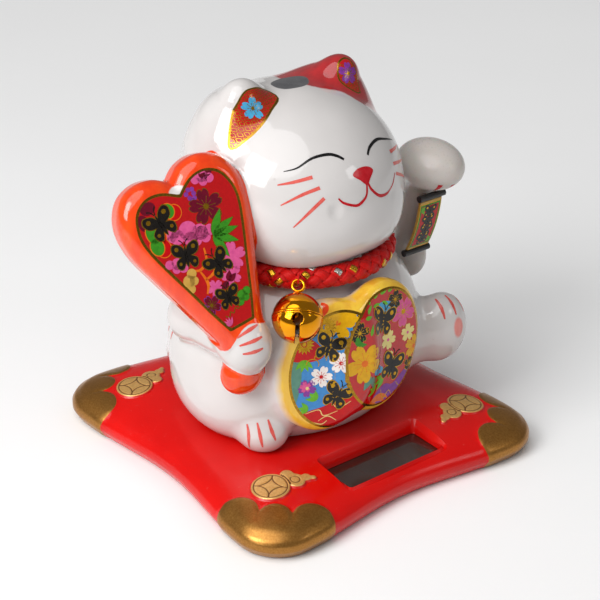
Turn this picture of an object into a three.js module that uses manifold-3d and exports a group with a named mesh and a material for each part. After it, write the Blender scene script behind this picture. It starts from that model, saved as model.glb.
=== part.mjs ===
// A solar beckoning cat figurine: a hollow glazed ceramic cat glued on a plastic base, with one plastic
// arm that rocks on a steel axle. Inside the cat the axle carries a pendulum whose magnet swings over a
// coil in the base, and a solar cell behind the base's window drives the coil. A bell hangs on the collar.
// Millimetres, +Z up, the cat faces -Y, origin on the table under the middle of the base.
import * as THREE from "three";
import { mergeVertices } from "three/addons/utils/BufferGeometryUtils.js";
import Module from "manifold-3d";

const wasm = await Module();
wasm.setup();

// ---------------------------------------------------------------- driving dimensions
const GAP = 0.3; // between pieces that touch
const RUN = 0.07; // radial clearance round a turning shaft
const DEG = Math.PI / 180;

// base housing
const baseHalf = 59; // middle to the tip of a corner, along X or Y
const sideInset = 4.5; // how far each side curves in at its middle
const cornerRadius = 15;
const skirtBottom = 1; // the top shell stops short of the table; the bottom cover stands on it
const rimTop = 5; // where the vertical side ends and the domed top starts
const baseTop = 13; // the flat middle that the cat stands on
const tuck = 1.6; // how far the side draws in at the bottom edge
const baseWall = 2;
const coverThickness = 2;
const figureOpening = 17.5; // radius of the hole under the cat
const screwRadius = 1.3;
const screwInset = 14; // corner tip to screw axis, along X and Y

// window, cell and the relief on the base
const windowWidth = 39;
const windowDepth = 14;
const windowInset = 7; // front edge of the base to the window
const cellThickness = 1.4;
const cellBorder = 3; // how far the cell reaches past the window all round
const cellTop = 8.2;
const coinRadius = 6.2;
const coinInset = [17.4, 21.6]; // from the corner tip to the coin, along X and Y
const reliefHeight = 0.8;
const cornerRelief = 0.6;

// ceramic cat
const wall = 3.2;
const torso = { at: [0, 3, 37], r: [45, 35.2, 37.5] };
const head = { at: [0, 8, 92], r: [34.5, 37.5, 29.3] };
const cheek = { at: [10, -7, 83], r: [17.5, 18, 15] };
const muzzle = { at: [0, -21, 86], r: [12.5, 8.5, 9] };
const ear = { base: [18, 12, 104.5], tip: [19.5, 9, 120.6], baseRadius: 16.2, tipRadius: 5.8, depth: 0.9 };
const earRoot = { at: [16, 12, 103], r: [17, 15, 14.5] };
const haunch = { at: [-26, 0, 27], r: [18, 24, 17] };
const standingFoot = { at: [-29, -16.5, 19.5], r: [8.5, 9.5, 8.5] };
const raisedLeg = { hip: [20, -4, 29], ankle: [40, -19, 33], radius: 10 };
const raisedFoot = { at: [41.5, -22.5, 36], r: [9.5, 8.5, 12] };
const shoulder = { at: [-30, 3, 66], elbow: [-39, 6, 53], wrist: [-39, -17, 54], radius: 8 };
const heldPaw = { at: [-38.5, -20.5, 54], r: [8, 8, 9.5] };
const tail = { root: [-16, 30, 20], bend: [-29, 27, 28], tip: [-34, 18, 42], radius: 5.5 };
const coinDisc = { r: [15.5, 20.5, 3.8] };
const coinRight = { at: [-14.5, -28.9, 43], yaw: -24, tilt: 8, roll: 12 };
const coinLeft = { at: [4, -31.6, 45.5], yaw: 2, tilt: 6, roll: 14 };

// fan in the right paw: its frame lies at the bottom of the printed face
const fan = { at: [-42, -22.5, 63.5], yaw: -15, tilt: 22, roll: -19, thickness: 14, rim: 5 };
// half of the outline, from the notch round a lobe to the foot: across, up
const fanHalf = [
  [0, 47.5],
  [4.5, 50.6],
  [10.5, 51.4],
  [16.5, 48.8],
  [20.4, 42],
  [20.4, 33],
  [17, 22.5],
  [12.8, 11],
  [9.3, 1],
  [7, -6],
];
const fanButt = { at: [-39.5, -19.5, 44], r: [7.5, 6, 7] };

// collar, bell
const collar = { at: [0, 3, 70], ring: 28, cord: 3.3 };
const knotRadius = 4.6;
const bellBearing = -39; // degrees round the neck from the cat's front, towards its right side
const bellRadius = 7.8;
const bellWall = 0.7;
const bellTilt = 46; // the bell lies against the chest, its mouth swung out from below the cord
const eyeletRadius = 1.8;
const eyeletWire = 0.5;
const pelletRadius = 2;
const slitWidth = 1.3;
const slitHole = 1.7;

// arm, axle and pendulum
const axle = { y: 4, z: 50, radius: 1.5, outer: 50.5, inner: -13 };
const armHub = { x: 49.2, radius: 8 };
const armWrist = { y: -1.5, z: 80, radius: 6 };
const armPaw = { at: [47, -7, 88], r: [10.5, 12.5, 8.2] };
const armWall = 1.6;
const scroll = { width: 9.5, length: 19.8, thickness: 0.9, top: [44.8, -11, 76.9], lean: 14.5, bow: 1 };
const rollerRadius = 1.2;
const bracketEar = 3;
const bracketBar = 3.6; // width of the bars in front of and behind the pendulum
const bracketScrew = 1;
const bracketSpan = 15; // between the ears
const leverWidth = 6;
const leverThickness = 3;
const magnetRadius = 5;
const magnetHeight = 4;
const glueHeight = 2.2;
const swingGap = 1.5; // magnet to coil
const weightRadius = 6;
const weightHeight = 7;
const weightBack = 5; // the weight sits behind the lever, because the paw leans forward

// coil and electronics, on the bottom cover
const coil = { outer: 8, inner: 3, height: 6, flange: 0.8 };
const board = { size: [24, 16], thickness: 1.2, at: [0, 33] };

// ---------------------------------------------------------------- materials
const paint = (color, roughness, metalness = 0) => new THREE.MeshStandardMaterial({ color, roughness, metalness });
const looks = {
  ceramic: paint(0xf2f0ee, 0.12),
  redPlastic: paint(0xd0160e, 0.22),
  whitePlastic: paint(0xe9e4dd, 0.35),
  blackPlastic: paint(0x1c1b1b, 0.4),
  cord: paint(0xb3121a, 0.85),
  goldBell: paint(0xd9971a, 0.16, 1),
  steel: paint(0xb9bcc0, 0.3, 1),
  scrollPrint: paint(0x9d1c20, 0.45),
  cell: paint(0x14110f, 0.08),
  board: paint(0x1d5b34, 0.5),
  copper: paint(0xb66a3c, 0.35, 1),
  wireRed: paint(0xa81b1b, 0.5),
  wireBlack: paint(0x191919, 0.5),
  glue: paint(0xe8e2d0, 0.5),
};

// ---------------------------------------------------------------- solids from three.js geometry
function solid(geometry) {
  const plain = geometry.clone();
  for (const name of Object.keys(plain.attributes)) if (name !== "position") plain.deleteAttribute(name);
  const merged = mergeVertices(plain, 1e-4);
  const made = new wasm.Manifold(
    new wasm.Mesh({
      numProp: 3,
      vertProperties: new Float32Array(merged.attributes.position.array),
      triVerts: new Uint32Array(merged.index.array),
    }),
  );
  return made;
}

const join = (...solids) => solids.reduce((all, next) => all.add(next));
const cut = (from, ...tools) => tools.reduce((left, tool) => left.subtract(tool), from);

function toGeometry(made) {
  const mesh = made.getMesh();
  return new THREE.BufferGeometry()
    .setAttribute("position", new THREE.BufferAttribute(new Float32Array(mesh.vertProperties), 3))
    .setIndex(new THREE.BufferAttribute(new Uint32Array(mesh.triVerts), 1));
}

// the rotation that takes +Z to a direction
const turnTo = (direction) =>
  new THREE.Quaternion().setFromUnitVectors(new THREE.Vector3(0, 0, 1), direction.clone().normalize());

// A frame whose +Z faces out of a surface: yaw 0 faces -Y, tilt raises it, roll turns the picture on it.
function facing(at, yaw, tilt, roll = 0) {
  const out = new THREE.Vector3(
    Math.sin(yaw * DEG) * Math.cos(tilt * DEG),
    -Math.cos(yaw * DEG) * Math.cos(tilt * DEG),
    Math.sin(tilt * DEG),
  );
  const across = new THREE.Vector3(Math.cos(yaw * DEG), Math.sin(yaw * DEG), 0);
  const up = new THREE.Vector3().crossVectors(out, across);
  return new THREE.Matrix4()
    .makeBasis(across, up, out)
    .multiply(new THREE.Matrix4().makeRotationZ(-roll * DEG))
    .premultiply(new THREE.Matrix4().makeTranslation(...at));
}

function ellipsoid(at, r, across = 14, down = 8) {
  const ball = new THREE.SphereGeometry(1, across, down).rotateX(90 * DEG).scale(...r);
  return solid(ball.translate(...at));
}

// a limb between two points, with round ends of their own radii
function limb(from, to, startRadius, endRadius, around = 12, rings = 3) {
  const a = new THREE.Vector3(...from);
  const axis = new THREE.Vector3(...to).sub(a);
  const length = axis.length();
  const profile = [];
  for (let i = 0; i <= rings; i++) {
    const t = (-90 + (90 * i) / rings) * DEG;
    profile.push(new THREE.Vector2(i ? startRadius * Math.cos(t) : 0, startRadius * Math.sin(t)));
  }
  for (let i = 0; i <= rings; i++) {
    const t = ((90 * i) / rings) * DEG;
    profile.push(new THREE.Vector2(i < rings ? endRadius * Math.cos(t) : 0, length + endRadius * Math.sin(t)));
  }
  const turned = new THREE.LatheGeometry(profile, around).rotateX(90 * DEG);
  return solid(turned.applyQuaternion(turnTo(axis)).translate(...from));
}

// a disc or tube along an axis: radii from the middle out, from one height to another
function ring(inner, outer, low, high, around = 32) {
  const points = inner
    ? [[inner, low], [outer, low], [outer, high], [inner, high], [inner, low]]
    : [[0, low], [outer, low], [outer, high], [0, high]];
  const profile = points.map(([x, y]) => new THREE.Vector2(x, y));
  return new THREE.LatheGeometry(profile, around).rotateX(90 * DEG);
}

const disc = (at, radius, low, high, around = 32) =>
  solid(ring(0, radius, low, high, around).translate(at[0], at[1], 0));

const block = (size, at) => solid(new THREE.BoxGeometry(...size).translate(...at));

// the ring's axis turned to lie along X
const alongX = (geometry) => geometry.rotateY(90 * DEG);

// a wire through hand-set points, with a round section
function wire(points, radius, sides = 8) {
  const curve = new THREE.CatmullRomCurve3(points.map((p) => new THREE.Vector3(...p)));
  const section = new THREE.Shape().absarc(0, 0, radius, 0, 2 * Math.PI);
  const steps = Math.ceil(curve.getLength() / (10 * radius));
  return new THREE.ExtrudeGeometry(section, { steps, extrudePath: curve, curveSegments: sides / 2 });
}

// ---------------------------------------------------------------- the base's cushion outline
// A square with sides that curve in and round corners, inset by d from the outer edge.
function cushion(d) {
  const half = baseHalf - d;
  const r = Math.max(cornerRadius - d * 0.6, 3);
  const straight = half - r;
  const sag = sideInset * Math.max(0, 1 - d / 34);
  const side = [];
  const sideSteps = 5;
  for (let i = 0; i < sideSteps; i++) {
    const x = -straight + (2 * straight * i) / sideSteps;
    side.push([x, -(half - sag * Math.cos((Math.PI * x) / (2 * straight)) ** 2)]);
  }
  const cornerSteps = 4;
  for (let i = 0; i < cornerSteps; i++) {
    const t = (-90 + (90 * i) / cornerSteps) * DEG;
    side.push([straight + r * Math.cos(t), -straight + r * Math.sin(t)]);
  }
  const all = [];
  for (let quarter = 0; quarter < 4; quarter++) {
    const c = Math.cos(quarter * 90 * DEG);
    const s = Math.sin(quarter * 90 * DEG);
    for (const [x, y] of side) all.push([x * c - y * s, x * s + y * c]);
  }
  return all;
}

// stacked outlines, each with the same number of points, closed flat at both ends
function loft(layers) {
  const count = layers[0].outline.length;
  const positions = layers.flatMap(({ outline, z }) => outline.flatMap(([x, y]) => [x, y, z]));
  const index = [];
  for (let k = 0; k + 1 < layers.length; k++)
    for (let i = 0; i < count; i++) {
      const j = (i + 1) % count;
      const [a, b, c, d] = [k * count + i, k * count + j, (k + 1) * count + i, (k + 1) * count + j];
      index.push(a, b, d, a, d, c);
    }
  const ends = THREE.ShapeUtils.triangulateShape(layers[0].outline.map((p) => new THREE.Vector2(...p)), []);
  const last = (layers.length - 1) * count;
  for (const [a, b, c] of ends) index.push(c, b, a, last + a, last + b, last + c);
  const made = new THREE.BufferGeometry();
  made.setAttribute("position", new THREE.Float32BufferAttribute(positions, 3));
  return solid(made.setIndex(index));
}

// how the domed top rises: inset from the edge, share of the way from the rim to the flat middle
const dome = [[0, 0], [0.9, 0.25], [3, 0.48], [8, 0.7], [15, 0.87], [25, 1]];

function housing(grow, bottom) {
  const layers = [
    { outline: cushion(tuck - grow), z: bottom },
    { outline: cushion(-grow), z: rimTop - 1.2 },
  ];
  for (const [d, share] of dome) layers.push({ outline: cushion(d - grow), z: rimTop + share * (baseTop - rimTop) + grow });
  return loft(layers);
}

// height of the domed top at a distance in from the edge
function domeAt(d) {
  for (let i = 1; i < dome.length; i++) {
    const [[d0, s0], [d1, s1]] = [dome[i - 1], dome[i]];
    if (d <= d1) return rimTop + (s0 + ((s1 - s0) * (d - d0)) / (d1 - d0)) * (baseTop - rimTop);
  }
  return baseTop;
}

const corners = [
  ["front_right", -1, -1],
  ["front_left", 1, -1],
  ["back_left", 1, 1],
  ["back_right", -1, 1],
];
const coverBottom = 0;
const coverTop = coverBottom + coverThickness;
const screwAt = (sx, sy) => [sx * (baseHalf - screwInset), sy * (baseHalf - screwInset)];
const windowFront = -(baseHalf - sideInset) + windowInset - sideInset / 2;
const windowMiddle = [0, windowFront + windowDepth / 2];

// ---------------------------------------------------------------- assembly
const model = new THREE.Group();

function piece(name, made, look, parent = model) {
  const geometry = made.isBufferGeometry ? made : toGeometry(made);
  const mesh = new THREE.Mesh(geometry, look);
  mesh.name = name;
  parent.add(mesh);
  return mesh;
}

// ---------------------------------------------------------------- base
// A coin with a gourd beside it, lying along X towards the middle of the base.
function coinRelief(sx, sy) {
  const [dx, dy] = coinInset;
  const at = [sx * (baseHalf - dx), sy * (baseHalf - dy)];
  const ground = domeAt(coinInset[0]) - 1.2;
  const top = domeAt(coinInset[1]) + reliefHeight;
  const gourd = [at[0] - sx * (coinRadius + 1.4), at[1] + sy * 2.8];
  const stem = [gourd[0] - sx * 4.6, gourd[1] - sy * 0.4];
  return join(
    disc(at, coinRadius, ground, top, 16),
    disc(gourd, 3.6, ground, top, 10),
    disc(stem, 2.1, ground, top, 8),
  );
}

// The raised corner: a large lobe on the diagonal and a wing along each side.
const cornerLobes = [[10.5, 10.5, 5.3], [20, 3, 6.8], [3, 20, 6.8], [2, 2, 12.6]];

function cornerPatch(sx, sy) {
  const grown = housing(cornerRelief, skirtBottom + 0.5);
  const lobes = cornerLobes.map(([dx, dy, r]) => disc([sx * (baseHalf - dx), sy * (baseHalf - dy)], r, -5, 30, 14));
  return grown.intersect(join(...lobes));
}

const bracketWidth = bracketSpan + 2 * bracketEar;
const bracketLength = 2 * (figureOpening - 1 + bracketBar);
const bracketScrewY = [-1, 1].map((side) => axle.y + side * (figureOpening - 1 + bracketBar / 2));

function baseTopShell() {
  const cavity = loft([
    { outline: cushion(baseWall + tuck), z: -5 },
    { outline: cushion(baseWall + tuck), z: coverTop + GAP },
    { outline: cushion(baseWall), z: rimTop },
    { outline: cushion(baseWall + 4), z: 8.2 },
    { outline: cushion(baseWall + 20), z: baseTop - baseWall },
  ]);
  let shell = housing(0, skirtBottom);
  for (const [, sx, sy] of corners) shell = join(shell, cornerPatch(sx, sy), coinRelief(sx, sy));
  shell = cut(shell, cavity);
  for (const [, sx, sy] of corners) {
    const boss = disc(screwAt(sx, sy), screwRadius + 2.2, coverTop + GAP, rimTop + 4.5, 16);
    shell = cut(join(shell, boss), disc(screwAt(sx, sy), screwRadius + GAP, coverBottom, rimTop + 3, 12));
  }
  const lightWell = block([windowWidth, windowDepth, 30], [...windowMiddle, 15]);
  const cellSeat = block(
    [windowWidth + 2 * (cellBorder + GAP), windowDepth + 2 * (cellBorder + GAP), cellThickness + 2 * GAP + 4],
    [...windowMiddle, cellTop + GAP - (cellThickness + 2 * GAP + 4) / 2],
  );
  for (const y of bracketScrewY) shell = join(shell, disc([0, y], bracketScrew + 1.8, baseTop - 6, baseTop - 1, 14));
  shell = cut(shell, lightWell, cellSeat, disc([0, axle.y], figureOpening, 0, 30, 28));
  return cut(shell, ...bracketScrewY.map((y) => disc([0, y], bracketScrew + GAP, baseTop - 5, 30, 12)));
}

piece("base_top_shell", baseTopShell(), looks.redPlastic);

function bottomCover() {
  let plate = loft([
    { outline: cushion(baseWall + tuck + GAP), z: coverBottom },
    { outline: cushion(baseWall + tuck + GAP), z: coverTop },
  ]);
  for (const [, sx, sy] of corners) {
    plate = cut(
      plate,
      disc(screwAt(sx, sy), screwRadius + GAP, -1, 10, 12),
      disc(screwAt(sx, sy), 2 * screwRadius + GAP, -1, coverBottom + 1, 16),
    );
  }
  return plate;
}

piece("base_bottom_cover", bottomCover(), looks.redPlastic);
for (const [where, sx, sy] of corners) {
  const shank = disc(screwAt(sx, sy), screwRadius, coverBottom + 0.5, rimTop + 2.5, 12);
  const headOfScrew = disc(screwAt(sx, sy), 2 * screwRadius, coverBottom + 0.1, coverBottom + 1 - 0.1, 16);
  piece("base_screw_" + where, join(shank, headOfScrew), looks.steel);
}

const cell = block(
  [windowWidth + 2 * cellBorder, windowDepth + 2 * cellBorder, cellThickness],
  [...windowMiddle, cellTop - cellThickness / 2],
);
piece("solar_cell", cell, looks.cell);

// ---------------------------------------------------------------- ceramic cat
const mirrorX = ([x, y, z]) => [-x, y, z];
const shrink = (r, by) => r.map((v) => v - by);
const standOn = baseTop + GAP;

function fanShape() {
  const right = fanHalf.map(([x, y]) => new THREE.Vector2(x, y));
  const left = fanHalf.slice(1).reverse().map(([x, y]) => new THREE.Vector2(-x, y));
  const lobe = (points) => new THREE.SplineCurve(points).getPoints(9);
  const outline = [...lobe(left), ...lobe([...right]).slice(0)];
  return new THREE.Shape(outline);
}

function fanSlab() {
  const { thickness, rim } = fan;
  const depth = thickness - 2 * rim;
  const slab = new THREE.ExtrudeGeometry(fanShape(), {
    depth,
    bevelThickness: rim,
    bevelSize: rim,
    bevelOffset: -rim,
    bevelSegments: 2,
    curveSegments: 12,
  });
  slab.translate(0, 0, -thickness + rim);
  return solid(slab.applyMatrix4(facing(fan.at, fan.yaw, fan.tilt, fan.roll)));
}

function coinOnBelly(coin) {
  const lens = new THREE.SphereGeometry(1, 18, 8).rotateX(90 * DEG).scale(...coinDisc.r);
  return solid(lens.applyMatrix4(facing(coin.at, coin.yaw, coin.tilt, coin.roll)));
}

function earSolid(side) {
  const flip = (p) => (side < 0 ? mirrorX(p) : p);
  const cone = limb([0, 0, 0], [0, 0, new THREE.Vector3(...ear.tip).distanceTo(new THREE.Vector3(...ear.base))],
    ear.baseRadius, ear.tipRadius, 14, 3);
  const geometry = toGeometry(cone).scale(1, ear.depth, 1);
  const lean = turnTo(new THREE.Vector3(...flip(ear.tip)).sub(new THREE.Vector3(...flip(ear.base))));
  return solid(geometry.applyQuaternion(lean).translate(...flip(ear.base)));
}

function catOutside() {
  return join(
    ellipsoid(torso.at, torso.r, 24, 14),
    ellipsoid(head.at, head.r, 24, 14),
    ellipsoid(cheek.at, cheek.r),
    ellipsoid(mirrorX(cheek.at), cheek.r),
    ellipsoid(muzzle.at, muzzle.r),
    earSolid(1),
    earSolid(-1),
    ellipsoid(earRoot.at, earRoot.r),
    ellipsoid(mirrorX(earRoot.at), earRoot.r),
    ellipsoid(haunch.at, haunch.r),
    ellipsoid(standingFoot.at, standingFoot.r),
    limb(raisedLeg.hip, raisedLeg.ankle, raisedLeg.radius + 3, raisedLeg.radius),
    ellipsoid(raisedFoot.at, raisedFoot.r),
    limb(shoulder.at, shoulder.elbow, shoulder.radius + 2, shoulder.radius),
    limb(shoulder.elbow, shoulder.wrist, shoulder.radius, shoulder.radius - 1),
    ellipsoid(heldPaw.at, heldPaw.r, 14, 8),
    limb(tail.root, tail.bend, tail.radius + 1, tail.radius, 12, 3),
    limb(tail.bend, tail.tip, tail.radius, tail.radius - 1, 12, 3),
    coinOnBelly(coinRight),
    coinOnBelly(coinLeft),
    fanSlab(),
    ellipsoid(fanButt.at, fanButt.r, 12, 8),
  );
}

// the hollow that slip casting leaves in the body and the head
function catHollow() {
  return join(
    ellipsoid(torso.at, shrink(torso.r, wall), 16, 10),
    ellipsoid(head.at, shrink(head.r, wall), 16, 10),
    disc([collar.at[0], collar.at[1]], collar.ring - collar.cord - wall - 2, torso.at[2], head.at[2], 24),
  );
}

const collarTube = (radius) =>
  solid(new THREE.TorusGeometry(collar.ring, radius, 6, 28).translate(...collar.at));

const knotAt = [collar.at[0], collar.at[1] + collar.ring + collar.cord + 0.5, collar.at[2]];
const knotRoom = (extra) => ellipsoid(knotAt, [knotRadius + extra, knotRadius * 0.8 + extra, knotRadius + extra], 12, 8);

const torsoSideAt = (z) => torso.r[0] * Math.sqrt(1 - ((z - torso.at[2]) / torso.r[2]) ** 2);
const bushFace = torsoSideAt(axle.z) + 1.4;
const bushRadius = 4.2;
const shaft = (radius, from, to, around = 24) =>
  solid(alongX(ring(0, radius, from, to, around)).translate(0, axle.y, axle.z));
const sleeve = (inner, outer, from, to, around = 24) =>
  solid(alongX(ring(inner, outer, from, to, around)).translate(0, axle.y, axle.z));

function ceramicCat() {
  const below = block([400, 400, 100], [0, 0, standOn - 50]);
  return cut(
    catOutside(),
    catHollow(),
    below,
    collarTube(collar.cord + GAP),
    knotRoom(GAP),
    shaft(bushRadius + GAP, torso.r[0] * 0.5, bushFace + 20, 24),
  );
}

piece("ceramic_cat", ceramicCat(), looks.ceramic);

// glue fills the corner between the cat's inner wall and the base top
const glueSlab = block([200, 200, glueHeight], [0, 0, baseTop + 0.1 + glueHeight / 2]);
const glueRoom = ellipsoid(torso.at, shrink(torso.r, wall + GAP), 16, 10);
const bracketRoom = block([bracketWidth + 2 * GAP, bracketLength + 2 * GAP, 30], [0, axle.y, baseTop]);
const glueHole = disc([0, axle.y], figureOpening + 1.5, 0, 30, 28);
piece("glue_ring", cut(glueRoom.intersect(glueSlab), glueHole, bracketRoom), looks.glue);

// ---------------------------------------------------------------- collar and bell
piece("collar_cord", cut(collarTube(collar.cord), knotRoom(GAP)), looks.cord);
piece("collar_knot", cut(knotRoom(0), collarTube(collar.cord + 3 * GAP)), looks.cord);

// The bell's own frame: origin in the eyelet, +Z up along the bell's axis, +X across, -Y out from the chest.
const bellDrop = bellRadius + eyeletRadius + eyeletWire + GAP;
const eyeletOut = collar.ring + collar.cord + eyeletWire + GAP + 1.8;
const bearing = (out, z) => [
  collar.at[0] + out * Math.sin(bellBearing * DEG),
  collar.at[1] - out * Math.cos(bellBearing * DEG),
  z,
];
const eyeletAt = bearing(eyeletOut, collar.at[2] + 0.4);
const bellGroup = new THREE.Group();
bellGroup.position.set(...eyeletAt);
bellGroup.rotation.order = "ZYX";
bellGroup.rotation.set(-bellTilt * DEG, 0, bellBearing * DEG);
model.add(bellGroup);

function bellHalf(upper) {
  const [from, to] = upper ? [0, 90] : [-90, 0];
  const steps = 5;
  const lip = upper ? [0.15, 0.75] : [-0.75, -0.15];
  const arc = (radius, a, b) =>
    Array.from({ length: steps + 1 }, (_, i) => {
      const t = (a + ((b - a) * i) / steps) * DEG;
      const x = Math.abs(t) > 89.9 * DEG ? 0 : radius * Math.cos(t);
      return new THREE.Vector2(x, radius * Math.sin(t));
    });
  const limit = upper ? lip[0] : lip[1];
  const trim = (p) => new THREE.Vector2(p.x, upper ? Math.max(p.y, limit) : Math.min(p.y, limit));
  const outer = arc(bellRadius, from, to).map(trim);
  const inner = arc(bellRadius - bellWall, to, from).map(trim);
  const profile = [...outer, ...inner];
  if (upper) profile.push(outer[0].clone());
  else profile.push(outer[0].clone());
  const half = solid(new THREE.LatheGeometry(profile, 16).rotateX(90 * DEG));
  const flange = solid(ring(bellRadius - bellWall, bellRadius + 0.35, ...lip, 16));
  return join(half, flange);
}

const bellCentre = [0, 0, -bellDrop];
const slit = join(
  block([slitWidth, 3 * bellRadius, bellRadius + 1], [0, 0, -bellRadius / 2 - 1.2]),
  solid(ring(0, slitHole, -2 * bellRadius, 2 * bellRadius, 12).rotateX(90 * DEG).translate(0, 0, -slitHole - 0.6)),
);
const shiftBell = (made) => solid(toGeometry(made).translate(...bellCentre));
piece("bell_upper_shell", shiftBell(bellHalf(true)), looks.goldBell, bellGroup);
piece("bell_lower_shell", shiftBell(cut(bellHalf(false), slit)), looks.goldBell, bellGroup);
const eyelet = new THREE.TorusGeometry(eyeletRadius, eyeletWire, 6, 12).rotateX(90 * DEG);
piece("bell_eyelet", eyelet, looks.goldBell, bellGroup);

// The thread is a loop round the top of the eyelet, tied to the cord's front. The bell swings about that point.
const threadRadius = 1.5;
const pivotOut = eyeletOut - eyeletRadius * Math.sin(bellTilt * DEG);
const pivot = bearing(pivotOut, eyeletAt[2] + eyeletRadius * Math.cos(bellTilt * DEG));
const threadLoop = new THREE.TorusGeometry(threadRadius, 0.35, 5, 10).rotateY(90 * DEG);
threadLoop.rotateZ(bellBearing * DEG).translate(pivot[0], pivot[1], pivot[2] + 0.5);
piece("bell_thread", threadLoop, looks.cord);

const bellMiddle = new THREE.Vector3(...bellCentre).applyEuler(bellGroup.rotation).add(bellGroup.position);
const pelletDrop = bellRadius - bellWall - pelletRadius - 2 * GAP;
piece(
  "bell_pellet",
  new THREE.SphereGeometry(pelletRadius, 8, 6).translate(bellMiddle.x, bellMiddle.y, bellMiddle.z - pelletDrop),
  looks.steel,
);

// ---------------------------------------------------------------- waving arm
// The outside, and the same shape one wall in. The seam plane holds the arm's own length and the X axis.
function armBody(inset) {
  const hub = [armHub.x, axle.y, axle.z];
  const wrist = [armPaw.at[0] + 0.8, armWrist.y, armWrist.z];
  return join(
    limb(hub, wrist, armHub.radius * 0.7 - inset, armWrist.radius - inset, 12, 3),
    ellipsoid(armPaw.at, shrink(armPaw.r, inset), 14, 8),
    ellipsoid(hub, [5.2 - inset, armHub.radius - inset, armHub.radius - inset], 12, 8),
  );
}

function armHalf(front) {
  const lean = Math.atan2(armPaw.at[1] + 2 - axle.y, armPaw.at[2] - axle.z);
  const knife = new THREE.BoxGeometry(60, 60, 120).translate(0, front ? 30 - 0 : -30, 0);
  knife.rotateX(-lean).translate(armHub.x, axle.y, axle.z);
  const seam = new THREE.BoxGeometry(60, 2 * 0.15, 120).rotateX(-lean).translate(armHub.x, axle.y, axle.z);
  const hubCore = shaft(axle.radius + 2, armHub.x - 6, armHub.x + 3.4, 16);
  const outside = armBody(0);
  const shellOnly = cut(outside, armBody(armWall));
  const body = join(shellOnly, hubCore.intersect(outside));
  return cut(body, solid(knife), solid(seam), shaft(axle.radius + GAP, -20, axle.outer + GAP, 16));
}

piece("arm_front_shell", armHalf(true), looks.whitePlastic);
piece("arm_back_shell", armHalf(false), looks.whitePlastic);

// a thin plaque, bowed along its length, hanging from under the paw
function scrollSheet() {
  const { width, length, thickness, bow } = scroll;
  const steps = 8;
  const front = [];
  const back = [];
  for (let i = 0; i <= steps; i++) {
    const t = i / steps;
    const out = bow * 4 * t * (1 - t);
    front.push([-t * length, out]);
    back.unshift([-t * length, out - thickness]);
  }
  const section = new THREE.Shape([...front, ...back].map(([u, v]) => new THREE.Vector2(v, u)));
  const sheet = new THREE.ExtrudeGeometry(section, { depth: width, bevelEnabled: false, curveSegments: 1 });
  return sheet.translate(0, 0, -width / 2);
}

// in the scroll's frame: X out of the print, Y up along it, Z across it
const scrollFrame = new THREE.Matrix4()
  .makeBasis(
    new THREE.Vector3(0, -Math.cos(scroll.lean * DEG), -Math.sin(scroll.lean * DEG)),
    new THREE.Vector3(0, -Math.sin(scroll.lean * DEG), Math.cos(scroll.lean * DEG)),
    new THREE.Vector3(-1, 0, 0),
  )
  .premultiply(new THREE.Matrix4().makeTranslation(...scroll.top));
piece("scroll_sheet", scrollSheet().applyMatrix4(scrollFrame), looks.scrollPrint);
for (const [name, along] of [["scroll_upper_roller", rollerRadius + GAP], ["scroll_lower_roller", -scroll.length - rollerRadius - GAP]]) {
  const roller = ring(0, rollerRadius, -scroll.width / 2 - 0.8, scroll.width / 2 + 0.8, 12);
  piece(name, roller.translate(-scroll.thickness / 2, along, 0).applyMatrix4(scrollFrame), looks.blackPlastic);
}

// ---------------------------------------------------------------- axle, bush, bracket and pendulum
piece("arm_axle", shaft(axle.radius, axle.inner, axle.outer, 16), looks.steel);

const bushInner = torsoSideAt(axle.z) - wall - 6;
const bush = join(
  sleeve(axle.radius + RUN, bushRadius, bushInner, bushFace - 2),
  sleeve(axle.radius + RUN, bushRadius + 1.2, bushInner - 1.4, bushInner),
);
piece("shoulder_bush", bush, looks.blackPlastic);

const flangeBottom = standOn + 0.1;
const flangeTop = flangeBottom + 2;
const earAt = (side) => side * (bracketSpan / 2 + bracketEar / 2);

function pivotBracket() {
  let frame = block([bracketWidth, bracketLength, 2], [0, axle.y, (flangeBottom + flangeTop) / 2]);
  frame = cut(frame, block([bracketSpan, 2 * figureOpening - 2, 10], [0, axle.y, flangeTop - 1]));
  frame = cut(frame, ...bracketScrewY.map((y) => disc([0, y], bracketScrew + GAP, 0, 30, 12)));
  for (const side of [-1, 1]) {
    const upright = block([bracketEar, 9, axle.z + 4 - flangeBottom], [earAt(side), axle.y, (axle.z + 4 + flangeBottom) / 2]);
    const foot = block([bracketEar, 26, 5], [earAt(side), axle.y - 4, flangeTop + 1.5]);
    frame = join(frame, upright, foot);
  }
  return cut(frame, shaft(axle.radius + RUN, -30, 30, 16));
}

piece("pivot_bracket", pivotBracket(), looks.blackPlastic);
for (const [where, y] of [["front", bracketScrewY[0]], ["back", bracketScrewY[1]]]) {
  const shank = disc([0, y], bracketScrew, baseTop - 4.5, flangeTop + 0.5, 12);
  piece("bracket_screw_" + where, join(shank, disc([0, y], 2 * bracketScrew, flangeTop + 0.2, flangeTop + 1.2, 14)), looks.steel);
}
piece("axle_clip", sleeve(axle.radius + 0.1, axle.radius + 1.6, earAt(-1) - bracketEar / 2 - 1.3, earAt(-1) - bracketEar / 2 - 0.4, 16), looks.steel);

const coilBottom = coverTop + GAP;
const coilTop = coilBottom + coil.height + 2 * coil.flange;
const magnetBottom = coilTop + swingGap;
const magnetTop = magnetBottom + magnetHeight;
const onAxis = (geometry) => solid(geometry.translate(0, axle.y, 0));

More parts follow.
